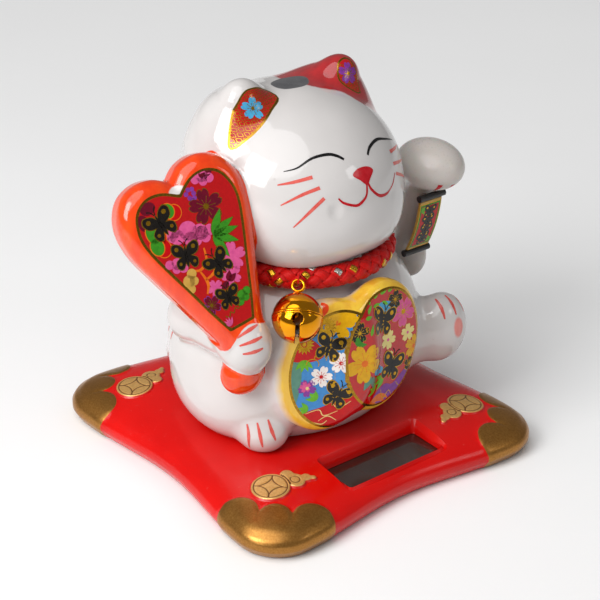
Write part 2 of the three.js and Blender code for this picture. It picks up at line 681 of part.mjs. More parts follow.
const lever = cut(
  join(
    block([leverThickness, leverWidth, axle.z - magnetTop - weightHeight - 2 * GAP], [0, axle.y, (axle.z + magnetTop + weightHeight + 2 * GAP) / 2]),
    shaft(leverWidth / 2 + 1, -leverThickness / 2 - 1.5, leverThickness / 2 + 1.5, 20),
  ),
  shaft(axle.radius + 0.1, -20, 20, 16),
);
piece("pendulum_lever", lever, looks.whitePlastic);
const weight = ring(0, weightRadius, magnetTop + GAP, magnetTop + weightHeight, 16).translate(0, weightBack, 0);
piece("counterweight", onAxis(weight), looks.steel);
piece("drive_magnet", onAxis(ring(0, magnetRadius, magnetBottom, magnetTop, 16)), looks.steel);

// ---------------------------------------------------------------- coil and electronics
const bobbin = join(
  onAxis(ring(coil.inner - 1.4, coil.inner, coilBottom, coilTop, 16)),
  onAxis(ring(coil.inner - 1.4, coil.outer, coilBottom, coilBottom + coil.flange, 16)),
  onAxis(ring(coil.inner - 1.4, coil.outer, coilTop - coil.flange, coilTop, 16)),
);
piece("coil_bobbin", bobbin, looks.whitePlastic);
piece(
  "coil_winding",
  onAxis(ring(coil.inner + 0.2, coil.outer - 0.7, coilBottom + coil.flange + 0.1, coilTop - coil.flange - 0.1, 16)),
  looks.copper,
);
const boardTop = coilBottom + board.thickness;
piece("circuit_board", block([...board.size, board.thickness], [...board.at, coilBottom + board.thickness / 2]), looks.board);
piece("capacitor", solid(alongX(ring(0, 2.4, -4.5, 4.5, 16)).translate(board.at[0] - 5, board.at[1] + 4, boardTop + 2.4 + 0.2)), looks.blackPlastic);
piece("driver_chip", block([5, 4, 1.6], [board.at[0] + 6, board.at[1] + 2, boardTop + 1]), looks.blackPlastic);

const cellBack = windowMiddle[1] + windowDepth / 2 + cellBorder;
for (const [name, x, look] of [["cell_lead_positive", 14, looks.wireRed], ["cell_lead_negative", 17, looks.wireBlack]]) {
  const route = [
    [x, cellBack - 4, cellTop - cellThickness - 1],
    [x + 4, cellBack + 6, coilBottom + 1],
    [x + 4, 4, coilBottom + 1],
    [x, 20, coilBottom + 1],
    [board.at[0] + 10 - (17 - x), board.at[1] - board.size[1] / 2 - 1.2, coilBottom + 1],
  ];
  piece(name, wire(route, 0.5), look);
}
for (const [name, x] of [["coil_lead_start", -3], ["coil_lead_end", 1]]) {
  const route = [
    [x, axle.y + coil.outer + 0.6, coilBottom + 0.6],
    [x - 1, axle.y + coil.outer + 5, coilBottom + 0.5],
    [x - 2, board.at[1] - board.size[1] / 2 - 0.8, coilBottom + 0.6],
  ];
  piece(name, wire(route, 0.3), looks.copper);
}

export default model;
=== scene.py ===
# A solar beckoning cat: the looks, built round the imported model. The scene is in metres. Lengths written
# here are millimetres in the model's own frame, and MM turns them into metres.
# Many places of prints and brush strokes were measured on the photo through the camera, and rounded.
import math

import bmesh
import bpy
import numpy as np
from mathutils import Matrix, Vector
from mathutils.bvhtree import BVHTree
from mathutils.geometry import delaunay_2d_cdt


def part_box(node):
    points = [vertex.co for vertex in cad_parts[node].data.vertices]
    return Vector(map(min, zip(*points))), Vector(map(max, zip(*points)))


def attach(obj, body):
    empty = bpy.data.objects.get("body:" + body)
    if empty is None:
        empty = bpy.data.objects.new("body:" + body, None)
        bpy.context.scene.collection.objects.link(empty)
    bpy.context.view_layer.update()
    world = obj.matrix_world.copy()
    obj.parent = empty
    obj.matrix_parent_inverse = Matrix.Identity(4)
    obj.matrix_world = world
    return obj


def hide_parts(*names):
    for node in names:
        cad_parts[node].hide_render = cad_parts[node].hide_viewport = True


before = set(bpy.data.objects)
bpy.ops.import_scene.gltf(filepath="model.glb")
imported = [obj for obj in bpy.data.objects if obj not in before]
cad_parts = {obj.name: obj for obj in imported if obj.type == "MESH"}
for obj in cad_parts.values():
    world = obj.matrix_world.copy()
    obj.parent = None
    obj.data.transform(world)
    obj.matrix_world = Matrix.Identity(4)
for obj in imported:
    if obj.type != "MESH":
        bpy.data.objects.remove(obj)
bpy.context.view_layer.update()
MM = 0.001
DEG = math.pi / 180
rng = np.random.default_rng(7)

# ------------------------------------------------------------------ camera
AZIMUTH, ELEVATION, ROLL, DISTANCE = -39.74, 27.96, 1.81, 600.0
TARGET = Vector((28.8, 35.9, 24.3)) * MM


def make_camera():
    a, e = AZIMUTH * DEG, ELEVATION * DEG
    back = Vector((math.sin(a) * math.cos(e), -math.cos(a) * math.cos(e), math.sin(e)))
    data = bpy.data.cameras.new("camera")
    data.lens, data.sensor_width = 100.4, 36.0
    data.clip_start, data.clip_end = 0.05, 20
    cam = bpy.data.objects.new("camera", data)
    bpy.context.scene.collection.objects.link(cam)
    cam.location = TARGET + back * DISTANCE * MM
    turn = (-back).to_track_quat("-Z", "Y")
    cam.rotation_mode = "QUATERNION"
    cam.rotation_quaternion = turn @ Matrix.Rotation(ROLL * DEG, 4, "Z").to_quaternion()
    bpy.context.scene.camera = cam


make_camera()

# ------------------------------------------------------------------ small helpers


def link(obj):
    bpy.context.scene.collection.objects.link(obj)
    return obj


def mesh_object(name, verts, faces, material=None, smooth=True):
    """An object from points in millimetres."""
    mesh = bpy.data.meshes.new(name)
    mesh.from_pydata((np.asarray(verts, float) * MM).tolist(), [], [tuple(f) for f in faces])
    mesh.validate()
    mesh.update()
    if smooth:
        mesh.shade_smooth()
    obj = link(bpy.data.objects.new(name, mesh))
    if material:
        mesh.materials.append(material)
    return obj


def crease(obj, angle=35):
    """Marks the edges that are sharper than an angle, so that smooth shading stops there."""
    bm = bmesh.new()
    bm.from_mesh(obj.data)
    for edge in bm.edges:
        edge.smooth = not (edge.is_boundary
            or (len(edge.link_faces) == 2 and edge.calc_face_angle(0) > angle * DEG))
    bm.to_mesh(obj.data)
    bm.free()
    return obj


def store(obj, name, values):
    """A float for each vertex, which the material reads."""
    layer = obj.data.attributes.new(name, "FLOAT", "POINT")
    layer.data.foreach_set("value", np.asarray(values, np.float32))


def unit(v):
    v = np.asarray(v, float)
    return v / np.linalg.norm(v)


class Plane:
    """A frame facing out of a surface: yaw 0 faces -Y, tilt raises it, roll turns the picture on it."""

    def __init__(self, at, yaw, tilt, roll=0.0):
        y, t, r = yaw * DEG, tilt * DEG, -roll * DEG
        self.at = np.array(at, float)
        self.out = np.array([math.sin(y) * math.cos(t), -math.cos(y) * math.cos(t), math.sin(t)])
        across = np.array([math.cos(y), math.sin(y), 0.0])
        up = np.cross(self.out, across)
        self.u = across * math.cos(r) + up * math.sin(r)
        self.v = -across * math.sin(r) + up * math.cos(r)

    def local(self, p):
        d = np.asarray(p, float) - self.at
        return np.stack([d @ self.u, d @ self.v, d @ self.out], -1)

    def world(self, uvw):
        uvw = np.atleast_2d(np.asarray(uvw, float))
        w = uvw[:, 2:3] if uvw.shape[1] > 2 else 0.0
        return self.at + uvw[:, :1] * self.u + uvw[:, 1:2] * self.v + w * self.out


def spline(points, steps=12, closed=False):
    """A Catmull-Rom line through points of any dimension."""
    p = np.asarray(points, float)
    n = len(p)
    out = []
    for i in range(n if closed else n - 1):
        if closed:
            a, b, c, d = p[i - 1], p[i], p[(i + 1) % n], p[(i + 2) % n]
        else:
            a, b, c, d = p[max(i - 1, 0)], p[i], p[i + 1], p[min(i + 2, n - 1)]
        for k in range(steps):
            t = k / steps
            out.append(0.5 * (2 * b + (c - a) * t + (2 * a - 5 * b + 4 * c - d) * t * t + (
                3 * b - a - 3 * c + d) * t**3))
    if not closed:
        out.append(p[-1])
    return np.array(out)


def polygon_distance(poly, q):
    """Signed distance from 2D points to a closed outline, negative inside."""
    q = np.asarray(q, np.float32)
    best = np.full(len(q), np.inf, np.float32)
    inside = np.zeros(len(q), bool)
    for a, b in zip(poly, np.roll(poly, -1, 0)):
        ab = b - a
        t = np.clip(((q - a) @ ab) / max(ab @ ab, 1e-12), 0, 1)
        best = np.minimum(best, ((q - a - t[:, None] * ab) ** 2).sum(1))
        crosses = (a[1] > q[:, 1]) != (b[1] > q[:, 1])
        x = a[0] + (q[:, 1] - a[1]) * ab[0] / (ab[1] if abs(ab[1]) > 1e-9 else 1e-9)
        inside ^= crosses & (q[:, 0] < x)
    return np.where(inside, -np.sqrt(best), np.sqrt(best))


# ------------------------------------------------------------------ solids from distance fields


def smin(a, b, k):
    h = np.clip(0.5 + 0.5 * (b - a) / k, 0, 1)
    return b + (a - b) * h - k * h * (1 - h)


def smax(a, b, k):
    return -smin(-a, -b, k)


def ball(p, at, r):
    """About the distance to an ellipsoid."""
    q = (p - np.array(at, np.float32)) / np.array(r, np.float32)
    k0 = np.sqrt((q * q).sum(-1))
    k1 = np.sqrt(((q / np.array(r, np.float32)) ** 2).sum(-1))
    return k0 * (k0 - 1) / np.maximum(k1, 1e-6)


def capsule(p, a, b, ra, rb):
    a, b = np.array(a, np.float32), np.array(b, np.float32)
    ab = b - a
    t = np.clip(((p - a) @ ab) / (ab @ ab), 0, 1)
    return np.sqrt(((p - a - t[..., None] * ab) ** 2).sum(-1)) - (ra + (rb - ra) * t)


def slope(field, p, e=0.2):
    """The gradient of a field at points."""
    return np.stack([(field((p + o).astype(np.float32)) - field((p - o).astype(np.float32))) / (2 * e)
        for o in np.eye(3) * e], -1)


def use_normals(obj, normals):
    n = np.asarray(normals, float)
    n /= np.maximum(np.linalg.norm(n, axis=1, keepdims=True), 1e-9)
    obj.data.normals_split_custom_set_from_vertices(n.tolist())


def surface(name, field, low, high, step, material=None, block=6):
    """The zero surface of a field by surface nets, with the points moved onto it.

    Only blocks near it are sampled.
    """
    low, high = np.array(low, float), np.array(high, float)
    n = (np.ceil((high - low) / step / block).astype(int)) * block + 1
    d = np.ones(tuple(n), np.float32)
    mids = np.stack(
        np.meshgrid(*[low[i] + step * (np.arange((n[i] - 1) // block) + 0.5) * block for i in range(3)],
            indexing="ij"), -1)
    middle = field(mids.reshape(-1, 3).astype(np.float32)).reshape(mids.shape[:3])
    close = np.abs(middle) < 1.5 * block * step
    far = np.where(middle < 0, -1, 1).astype(np.float32)
    for a in range(3):
        far = np.repeat(far, block, a)
    d[: n[0] - 1, : n[1] - 1, : n[2] - 1] = far
    todo = np.zeros(tuple(n), bool)
    for i, j, k in np.argwhere(close):
        todo[i * block : i * block + block + 1, j * block : j * block + block + 1,
            k * block : k * block + block + 1] = True
    spots = np.argwhere(todo)
    values = np.empty(len(spots), np.float32)
    for k in range(0, len(spots), 100000):
        values[k : k + 100000] = field((low + step * spots[k : k + 100000]).astype(np.float32))
    d[tuple(spots.T)] = values
    inside = d < 0
    corner = [(i, j, k) for i in (0, 1) for j in (0, 1) for k in (0, 1)]
    cells = [inside[i : n[0] - 1 + i, j : n[1] - 1 + j, k : n[2] - 1 + k] for i, j, k in corner]
    count = sum(c.astype(np.int8) for c in cells)
    mixed = (count > 0) & (count < 8)
    where = np.argwhere(mixed)
    index = np.full(mixed.shape, -1, np.int64)
    index[mixed] = np.arange(len(where))
    total = np.zeros((len(where), 3))
    hits = np.zeros(len(where))
    value = {c: d[where[:, 0] + c[0], where[:, 1] + c[1], where[:, 2] + c[2]] for c in corner}
    for a in corner:
        for axis in range(3):
            if a[axis]:
                continue
            b = tuple(v + (1 if i == axis else 0) for i, v in enumerate(a))
            va, vb = value[a], value[b]
            cut = (va < 0) != (vb < 0)
            t = np.where(cut, va / np.where(cut, va - vb, 1), 0)
            point = np.tile(np.array(a, float), (len(where), 1))
            point[:, axis] += t
            total[cut] += point[cut]
            hits[cut] += 1
    verts = low + step * (where + total / np.maximum(hits, 1)[:, None])
    for _ in range(2):
        v0 = field(verts.astype(np.float32))
        grad = slope(field, verts)
        size = np.maximum((grad**2).sum(-1, keepdims=True), 0.05)
        move = -(v0[:, None] * grad / size)
        verts = verts + np.clip(move, -0.3 * step, 0.3 * step)
    faces = []
    for axis in range(3):
        u, v = (axis + 1) % 3, (axis + 2) % 3
        lo = [slice(1, n[i] - 1) for i in range(3)]
        lo[axis] = slice(0, n[axis] - 1)
        hi = list(lo)
        hi[axis] = slice(1, n[axis])
        a, b = inside[tuple(lo)], inside[tuple(hi)]
        spot = np.argwhere(a != b)
        flip = a[tuple(spot.T)]
        spot = spot + np.array([1 if i != axis else 0 for i in range(3)])

        def at(du, dv):
            s = spot.copy()
            s[:, u] -= du
            s[:, v] -= dv
            return index[tuple(s.T)]

        quad = np.stack([at(0, 0), at(1, 0), at(1, 1), at(0, 1)], -1)
        quad[~flip] = quad[~flip][:, ::-1]
        faces.append(quad)
    faces = np.concatenate(faces)
    faces = faces[(faces >= 0).all(1)]
    mesh = bpy.data.meshes.new(name)
    mesh.vertices.add(len(verts))
    mesh.vertices.foreach_set("co", (verts * MM).astype(np.float32).ravel())
    mesh.loops.add(faces.size)
    mesh.loops.foreach_set("vertex_index", faces.astype(np.int32).ravel())
    mesh.polygons.add(len(faces))
    mesh.polygons.foreach_set("loop_start", np.arange(0, faces.size, 4, dtype=np.int32))
    mesh.update(calc_edges=True)
    mesh.validate()
    mesh.shade_smooth()
    obj = link(bpy.data.objects.new(name, mesh))
    use_normals(obj, slope(field, verts))
    if material:
        mesh.materials.append(material)
    return obj


def points_of(obj):
    co = np.empty(len(obj.data.vertices) * 3, np.float32)
    obj.data.vertices.foreach_get("co", co)
    return co.reshape(-1, 3).astype(float) / MM


# ------------------------------------------------------------------ shape of the cat
STAND = 13.3
WALL = 3.2
TORSO = ((0, 3, 37), (45, 35.2, 37.5))
HEAD = ((0, 8, 92), (34.5, 37.5, 29.3))
COLLAR = (0, 3, 70)
CHEEK = ((10, -7, 83), (17.2, 17.8, 15))
EAR_FOOT = ((16.8, 13.5, 106.5), (14.8, 14.2, 16))
BUTT = ((-39.5, -19.5, 44), (7.2, 5.9, 6.8))
SHOULDER, ELBOW, WRIST = (-30, 3, 66), (-39, 6, 53), (-39, -15, 54)
PALM = ((-38.5, -20.5, 54), (7.8, 7.8, 9.6))
RING, CORD = 28.0, 3.3
AXLE_Y, AXLE_Z = 4.0, 50.0
FAN = Plane((-42, -22.5, 63.5), -15, 22, -19)
FAN_THICK, FAN_RIM = 14.0, 5.0
FAN_HALF = [(0, 47.5), (4.5, 50.6), (10.5, 51.4), (16.5, 48.8), (20.4, 42), (20.4, 33), (17, 22.5),
    (12.8, 11), (9.3, 1), (7, -6)]
DECAL_HALF = [(0, 42.9), (5, 46.0), (10, 46.5), (14.2, 43.9), (16.2, 38.5), (15.8, 33), (13.3, 25), (10, 16),
    (7, 7.5), (4, 0)]
OVALS = {
    "right": (Plane((-14.5, -28.9, 43), -24, 8, 12), (16.8, 21.6, 3.8)),
    "left": (Plane((3.8, -31.6, 45.6), 2, 6, 14), (16.8, 21.6, 3.8)),
}


def heart(half, steps=8):
    right = spline(half, steps)
    left = right[1:][::-1] * [-1, 1]
    return np.concatenate([left, right])


FAN_OUTLINE = heart(FAN_HALF, 5)
DECAL_OUTLINE = heart(DECAL_HALF)


def slab(p, plane, outline, thickness, rim):
    """A plate with rounded edges: its face lies in the plane and it goes back from there."""
    q = plane.local(p)
    low, high = outline.min(0), outline.max(0)
    box = np.maximum(np.abs(q - [*(low + high) / 2, -thickness / 2]) - [*(high - low) / 2, thickness / 2], 0)
    whole = np.sqrt((box**2).sum(1))
    close = whole < 5
    q = q[close]
    flat = polygon_distance(outline, q[:, :2]) + rim
    deep = np.abs(q[:, 2] + thickness / 2) - (thickness / 2 - rim)
    out = np.sqrt(np.maximum(flat, 0) ** 2 + np.maximum(deep, 0) ** 2)
    whole[close] = out + np.minimum(np.maximum(flat, deep), 0) - rim
    return whole


def coin(p, plane, r):
    q = plane.local(p)
    s = np.sqrt((q[:, 0] / r[0]) ** 2 + (q[:, 1] / r[1]) ** 2)
    edge = (s - 1) * min(r[0], r[1])
    rim = 2.4
    deep = np.abs(q[:, 2]) - (r[2] - rim) * np.clip(1.25 - 0.35 * s * s, 0.6, 1.3)
    flat = edge + rim
    out = np.sqrt(np.maximum(flat, 0) ** 2 + np.maximum(deep, 0) ** 2)
    return out + np.minimum(np.maximum(flat, deep), 0) - rim


def mirror(v):
    return (-v[0], v[1], v[2])


def cat_field(p):
    head = ball(p, *HEAD)
    for side in (1, -1):
        flip = (lambda v: v) if side > 0 else mirror
        head = smin(head, ball(p, flip(CHEEK[0]), CHEEK[1]), 7)
        ear = capsule(p * [1, 1 / 0.9, 1], np.array(flip((18, 12, 104))) * [1, 1 / 0.9, 1],
            np.array(flip((19.5, 8.8, 120.6))) * [1, 1 / 0.9, 1], 15.4, 6.0)
        head = smin(head, ball(p, flip(EAR_FOOT[0]), EAR_FOOT[1]), 6)
        head = smin(head, ear, 6)
    head = smin(head, ball(p, (0, -21, 86), (12, 8, 8.5)), 7)
    body = ball(p, *TORSO)
    leg = ball(p, (-26, 0, 27), (18, 24, 17))
    body = smin(body, leg, 5)
    body = smin(body, capsule(p, (20, -4, 29), (40, -19, 33), 12.5, 9.6), 6)
    body = smin(body, ball(p, (41.5, -22.5, 36), (9.3, 8.4, 11.8)), 4)
    body = smin(body, ball(p, (-29, -16.5, 19.5), (8.6, 9.6, 8.4)), 2.5)
    tail = np.minimum(capsule(p, (-16, 30, 20), (-29, 27, 28), 6.2, 5.5),
        capsule(p, (-29, 27, 28), (-34, 18, 42), 5.5, 4.6))
    body = smin(body, tail, 3)
    whole = smin(head, body, 5)
    for plane, r in OVALS.values():
        whole = smin(whole, coin(p, plane, r), 4.2)
    arm = smin(capsule(p, SHOULDER, ELBOW, 9.5, 8), capsule(p, ELBOW, WRIST, 8, 7.4), 3)
    arm = smin(arm, ball(p, *PALM), 3)
    fan = slab(p, FAN, FAN_OUTLINE, FAN_THICK, FAN_RIM)
    butt = ball(p, *BUTT)
    whole = smin(whole, fan, 1.5)
    whole = smin(whole, arm, 2)
    whole = smin(whole, butt, 1.2)
    for x in (-11.8, 12.6):
        whole = smax(whole, -ball(p, (x, -29.4, 94.6), (2.1, 2.1, 2.1)), 1.8)
    return whole


def cat_hollow(p):
    body = ball(p, TORSO[0], [v - WALL for v in TORSO[1]])
    head = ball(p, HEAD[0], [v - WALL - 1 for v in HEAD[1]])
    neck = np.maximum(np.hypot(p[:, 0], p[:, 1] - 3) - 18, np.abs(p[:, 2] - 70) - 20)
    bore = np.maximum(np.hypot(p[:, 1] - AXLE_Y, p[:, 2] - AXLE_Z) - 4.6, 25 - p[:, 0])
    return np.minimum(np.minimum(smin(body, head, 3), neck), bore)


def cat_shell(p):
    d = smax(cat_field(p), -cat_hollow(p), 0.5)
    groove = np.hypot(np.hypot(p[:, 0], p[:, 1] - COLLAR[1]) - RING, p[:, 2] - COLLAR[2]) - (CORD + 0.25)
    d = smax(d, -groove, 0.6)
    knot = ball(p, (0, COLLAR[1] + RING + CORD + 0.5, COLLAR[2]), (4.9, 4.0, 4.9))
    d = smax(d, -knot, 0.4)
    return smax(d, STAND - p[:, 2], 0.4)


# ------------------------------------------------------------------ materials
def tone(code):
    """A colour written as six hex digits, made linear."""
    out = []
    for i in (0, 2, 4):
        c = int(code[i : i + 2], 16) / 255
        out.append(c / 12.92 if c <= 0.04045 else ((c + 0.055) / 1.055) ** 2.4)
    return (*out, 1.0)


class Paint:
    """A material and short ways to wire its nodes."""

    def __init__(self, name, **sockets):
        self.material = bpy.data.materials.new(name)
        self.material.use_nodes = True
        self.tree = self.material.node_tree
        self.shader = self.tree.nodes["Principled BSDF"]
        self.place = self.node("ShaderNodeTexCoord").outputs["Object"]
        for key, value in sockets.items():
            self.set(key.replace("_", " "), value)

    def node(self, kind, **props):
        made = self.tree.nodes.new(kind)
        for key, value in props.items():
            setattr(made, key, value)
        return made

    def wire(self, value, socket):
        if isinstance(value, bpy.types.NodeSocket):
            self.tree.links.new(value, socket)
        else:
            socket.default_value = value

    def set(self, name, value):
        self.wire(value, self.shader.inputs[name])

    def attr(self, name):
        return self.node("ShaderNodeAttribute", attribute_name=name).outputs["Fac"]

    def calc(self, op, a, b=0.0, c=0.0):
        made = self.node("ShaderNodeMath", operation=op)
        for value, socket in zip((a, b, c), made.inputs):
            self.wire(value, socket)
        return made.outputs[0]

    def span(self, value, low, high, a=0.0, b=1.0):
        made = self.node("ShaderNodeMapRange", clamp=True)
        for v, socket in zip((value, low, high, a, b), made.inputs):
            self.wire(v, socket)
        return made.outputs[0]

    def mix(self, share, a, b):
        made = self.node("ShaderNodeMix", data_type="RGBA")
        self.wire(share, made.inputs["Factor"])
        self.wire(a, made.inputs[6])
        self.wire(b, made.inputs[7])
        return made.outputs[2]

    def noise(self, scale, detail=3.0, rough=0.55, place=None):
        made = self.node("ShaderNodeTexNoise")
        self.wire(place or self.place, made.inputs["Vector"])
        made.inputs["Scale"].default_value = scale
        made.inputs["Detail"].default_value = detail
        made.inputs["Roughness"].default_value = rough
        return made.outputs["Fac"]

    def cells(self, scale, place=None, feature="F1"):
        made = self.node("ShaderNodeTexVoronoi", feature=feature)
        self.wire(place or self.place, made.inputs["Vector"])
        made.inputs["Scale"].default_value = scale
        return made.outputs["Distance"]

    def stretch(self, factors, place=None):
        made = self.node("ShaderNodeVectorMath", operation="MULTIPLY")
        self.wire(place or self.place, made.inputs[0])
        made.inputs[1].default_value = factors
        return made.outputs[0]

    def vector(self, x, y, z=0.0):
        made = self.node("ShaderNodeCombineXYZ")
        for v, socket in zip((x, y, z), made.inputs):
            self.wire(v, socket)
        return made.outputs[0]

    def bump(self, height, distance, strength=1.0, coat=False):
        made = self.node("ShaderNodeBump")
        made.inputs["Strength"].default_value = strength
        made.inputs["Distance"].default_value = distance
        self.wire(height, made.inputs["Height"])
        self.set("Normal", made.outputs["Normal"])
        if coat:
            self.set("Coat Normal", made.outputs["Normal"])
        return made

    def under(self, field, edge=0.0, soft=0.06):
        """1 where a field is below an edge."""
        return self.span(field, edge - soft, edge + soft, 1.0, 0.0)


def flat_finish(name, colour, other, rough, metal=0.0, grain=900.0, bump=0.00004, spread=0.12, **more):
    """A plain finish: two close colours in a fine grain, with the roughness and the relief from it."""
    p = Paint(name, Metallic=metal, **more)
    n = p.noise(grain, 4.0)
    p.set("Base Color", p.mix(p.span(n, 0.3, 0.7), tone(colour), tone(other)))
    p.set("Roughness", p.span(p.noise(grain * 0.23, 2.0), 0.3, 0.7, rough * (1 - spread),
        rough * (1 + spread)))
    p.bump(n, bump)
    return p.material


def glaze_paint():
    """White glaze and the paint under it: a patch is where a stored distance is below zero."""
    p = Paint("glaze", IOR=1.5, Coat_Weight=0.3, Coat_Roughness=0.02, Coat_IOR=1.5)
    big, fine = p.noise(55, 2.0), p.noise(900, 2.0)
    brush = p.noise(260, 4.0, 0.6, p.stretch((1, 1, 0.25)))
    speck = p.calc("MULTIPLY", p.span(p.cells(170), 0.05, 0.09, 1.0, 0.0),
        p.span(p.noise(60, 1.0), 0.6, 0.64))
    white = p.mix(p.span(big, 0.3, 0.7), tone("CDC9C7"), tone("D2CECC"))
    white = p.mix(p.calc("MULTIPLY", speck, 0.4), white, tone("8A7460"))
    wobble = p.calc("MULTIPLY", p.calc("SUBTRACT", p.noise(190, 3.0), 0.5), 0.9)

    def patch(colour, field, a, b, edge=0.0, soft=0.08, wave=1.0, strength=1.0):
        shifted = p.calc("ADD", p.attr(field), p.calc("MULTIPLY", wobble, wave)) if wave else p.attr(field)
        share = p.under(shifted, edge, soft)
        if strength != 1.0:
            share = p.calc("MULTIPLY", share, strength)
        return p.mix(share, colour, p.mix(p.span(brush, 0.35, 0.65), tone(a), tone(b)))

    colour = patch(white, "ear_red", "B00D14", "980810", soft=0.5, wave=2.4, strength=0.97)
    colour = patch(colour, "spot", "4C4C4F", "5A5A5D", soft=0.15, wave=0.5)
    colour = patch(colour, "yellow", "F0C426", "E2A80E", soft=1.1, wave=1.8, strength=0.95)
    colour = patch(colour, "fan", "F04A12", "E13A0A", soft=0.12, wave=0.8)
    colour = patch(colour, "butt", "F04A12", "E13A0A", soft=0.12, wave=0.8)
    colour = patch(colour, "pad", "E58A80", "D97468", soft=0.3, wave=0.6)
    colour = p.mix(p.under(p.attr("notch"), 0, 0.12), colour, tone("D6D2CF"))
    colour = p.mix(p.under(p.attr("decal"), 0, 0.05), colour,
        p.mix(p.span(fine, 0.3, 0.7), tone("B8070C"), tone("AE050A")))
    colour = p.mix(p.under(p.attr("blue"), 0, 0.05), colour,
        p.mix(p.span(fine, 0.3, 0.7), tone("2F86C9"), tone("2A7CC0")))
    colour = p.mix(p.under(p.attr("red"), 0, 0.05), colour,
        p.mix(p.span(fine, 0.3, 0.7), tone("BC060A"), tone("B20508")))
    colour = p.mix(p.under(p.attr("ear_print"), 0, 0.05), colour, tone("B30B12"))
    line = None
    for field in ("decal_line", "oval_line", "ear_line"):
        one = p.under(p.calc("ABSOLUTE", p.attr(field)), 0.42 if field != "ear_line" else 0.22, 0.05)
        line = one if line is None else p.calc("MAXIMUM", line, one)
    colour = p.mix(line, colour, p.mix(p.span(p.noise(1500, 3.0), 0.3, 0.7), tone("B98D22"), tone("8E6612")))
    p.set("Base Color", colour)
    p.set("Metallic", line)
    p.set("Roughness", p.calc("ADD", p.span(fine, 0.3, 0.7, 0.07, 0.11), p.calc("MULTIPLY", line, 0.15)))
    p.bump(p.calc("ADD", big, p.calc("MULTIPLY", fine, 0.04)), 0.00035, 0.6, coat=True)
    return p.material


def red_plastic(name="red_plastic"):
    """Moulded red plastic, with the antique gold of the corners where a stored distance is below zero."""
    p = Paint(name, IOR=1.46, Specular_IOR_Level=0.4, Coat_Weight=0.05, Coat_Roughness=0.06)
    cloud, grain = p.noise(45, 2.0), p.noise(1700, 3.0)
    red = p.mix(p.span(cloud, 0.3, 0.7), tone("D40B05"), tone("C80704"))
    dust = p.calc("MULTIPLY", p.span(p.noise(520, 6.0, 0.75), 0.62, 0.75), 0.10)
    red = p.mix(dust, red, tone("F0A79F"))
    gold = p.mix(p.span(grain, 0.3, 0.7), tone("B27F3E"), tone("98672B"))
    gold = p.mix(p.span(p.noise(160, 3.0), 0.5, 0.8, 0.0, 0.35), gold, tone("7E5524"))
    wave = p.calc("MULTIPLY", p.calc("SUBTRACT", p.noise(260, 2.0), 0.5), 0.5)
    foil = p.under(p.calc("ADD", p.attr("corner"), wave), 0.0, 0.07)
    p.set("Base Color", p.mix(foil, red, gold))
    p.set("Metallic", p.calc("MULTIPLY", foil, 0.82))
    base = p.span(p.noise(300, 3.0), 0.3, 0.7, 0.20, 0.27)
    p.set("Roughness", p.calc("ADD", base, p.calc("MULTIPLY", foil, 0.09)))
    p.bump(p.calc("ADD", p.calc("MULTIPLY", cloud, 3.0),
        p.calc("MULTIPLY", grain, p.calc("MULTIPLY", foil, 0.15))), 0.00006, 0.5)
    return p.material


def ink(name, a, b, rough=0.12, metal=0.0, bump=0.00002):
    """Printed ink under a clear coat: a slight mottle and fine dots like a print screen."""
    p = Paint(name, Metallic=metal, IOR=1.5, Specular_IOR_Level=0.3, Coat_Weight=0.05, Coat_Roughness=0.03)
    n = p.noise(700, 3.0)
    dots = p.calc("MULTIPLY", p.span(p.cells(4500), 0.2, 0.5), 0.12)
    p.set("Base Color", p.mix(p.calc("ADD", p.span(n, 0.3, 0.7, 0.0, 0.85), dots), tone(a), tone(b)))
    p.set("Roughness", p.span(n, 0.3, 0.7, rough * 0.85, rough * 1.15))
    p.bump(n, bump)
    return p.material


def braid_paint(name, a, b, metal=0.0, rough=0.5, sheen=0.04):
    """Twisted yarn: fine fibres run along each strand, read from stored places along and across it."""
    p = Paint(name, Metallic=metal, Specular_IOR_Level=0.25, Sheen_Weight=sheen, Sheen_Roughness=0.4)
    fibre = p.noise(1.0, 3.0, 0.6, p.vector(p.calc("MULTIPLY", p.attr("along"), 0.35),
        p.calc("MULTIPLY", p.attr("across"), 9.0), p.attr("strand")))
    p.set("Base Color", p.mix(p.span(fibre, 0.3, 0.7), tone(a), tone(b)))
    p.set("Roughness", p.span(fibre, 0.3, 0.7, rough * 0.8, rough * 1.15))
    p.bump(fibre, 0.00018, 0.8)
    return p.material


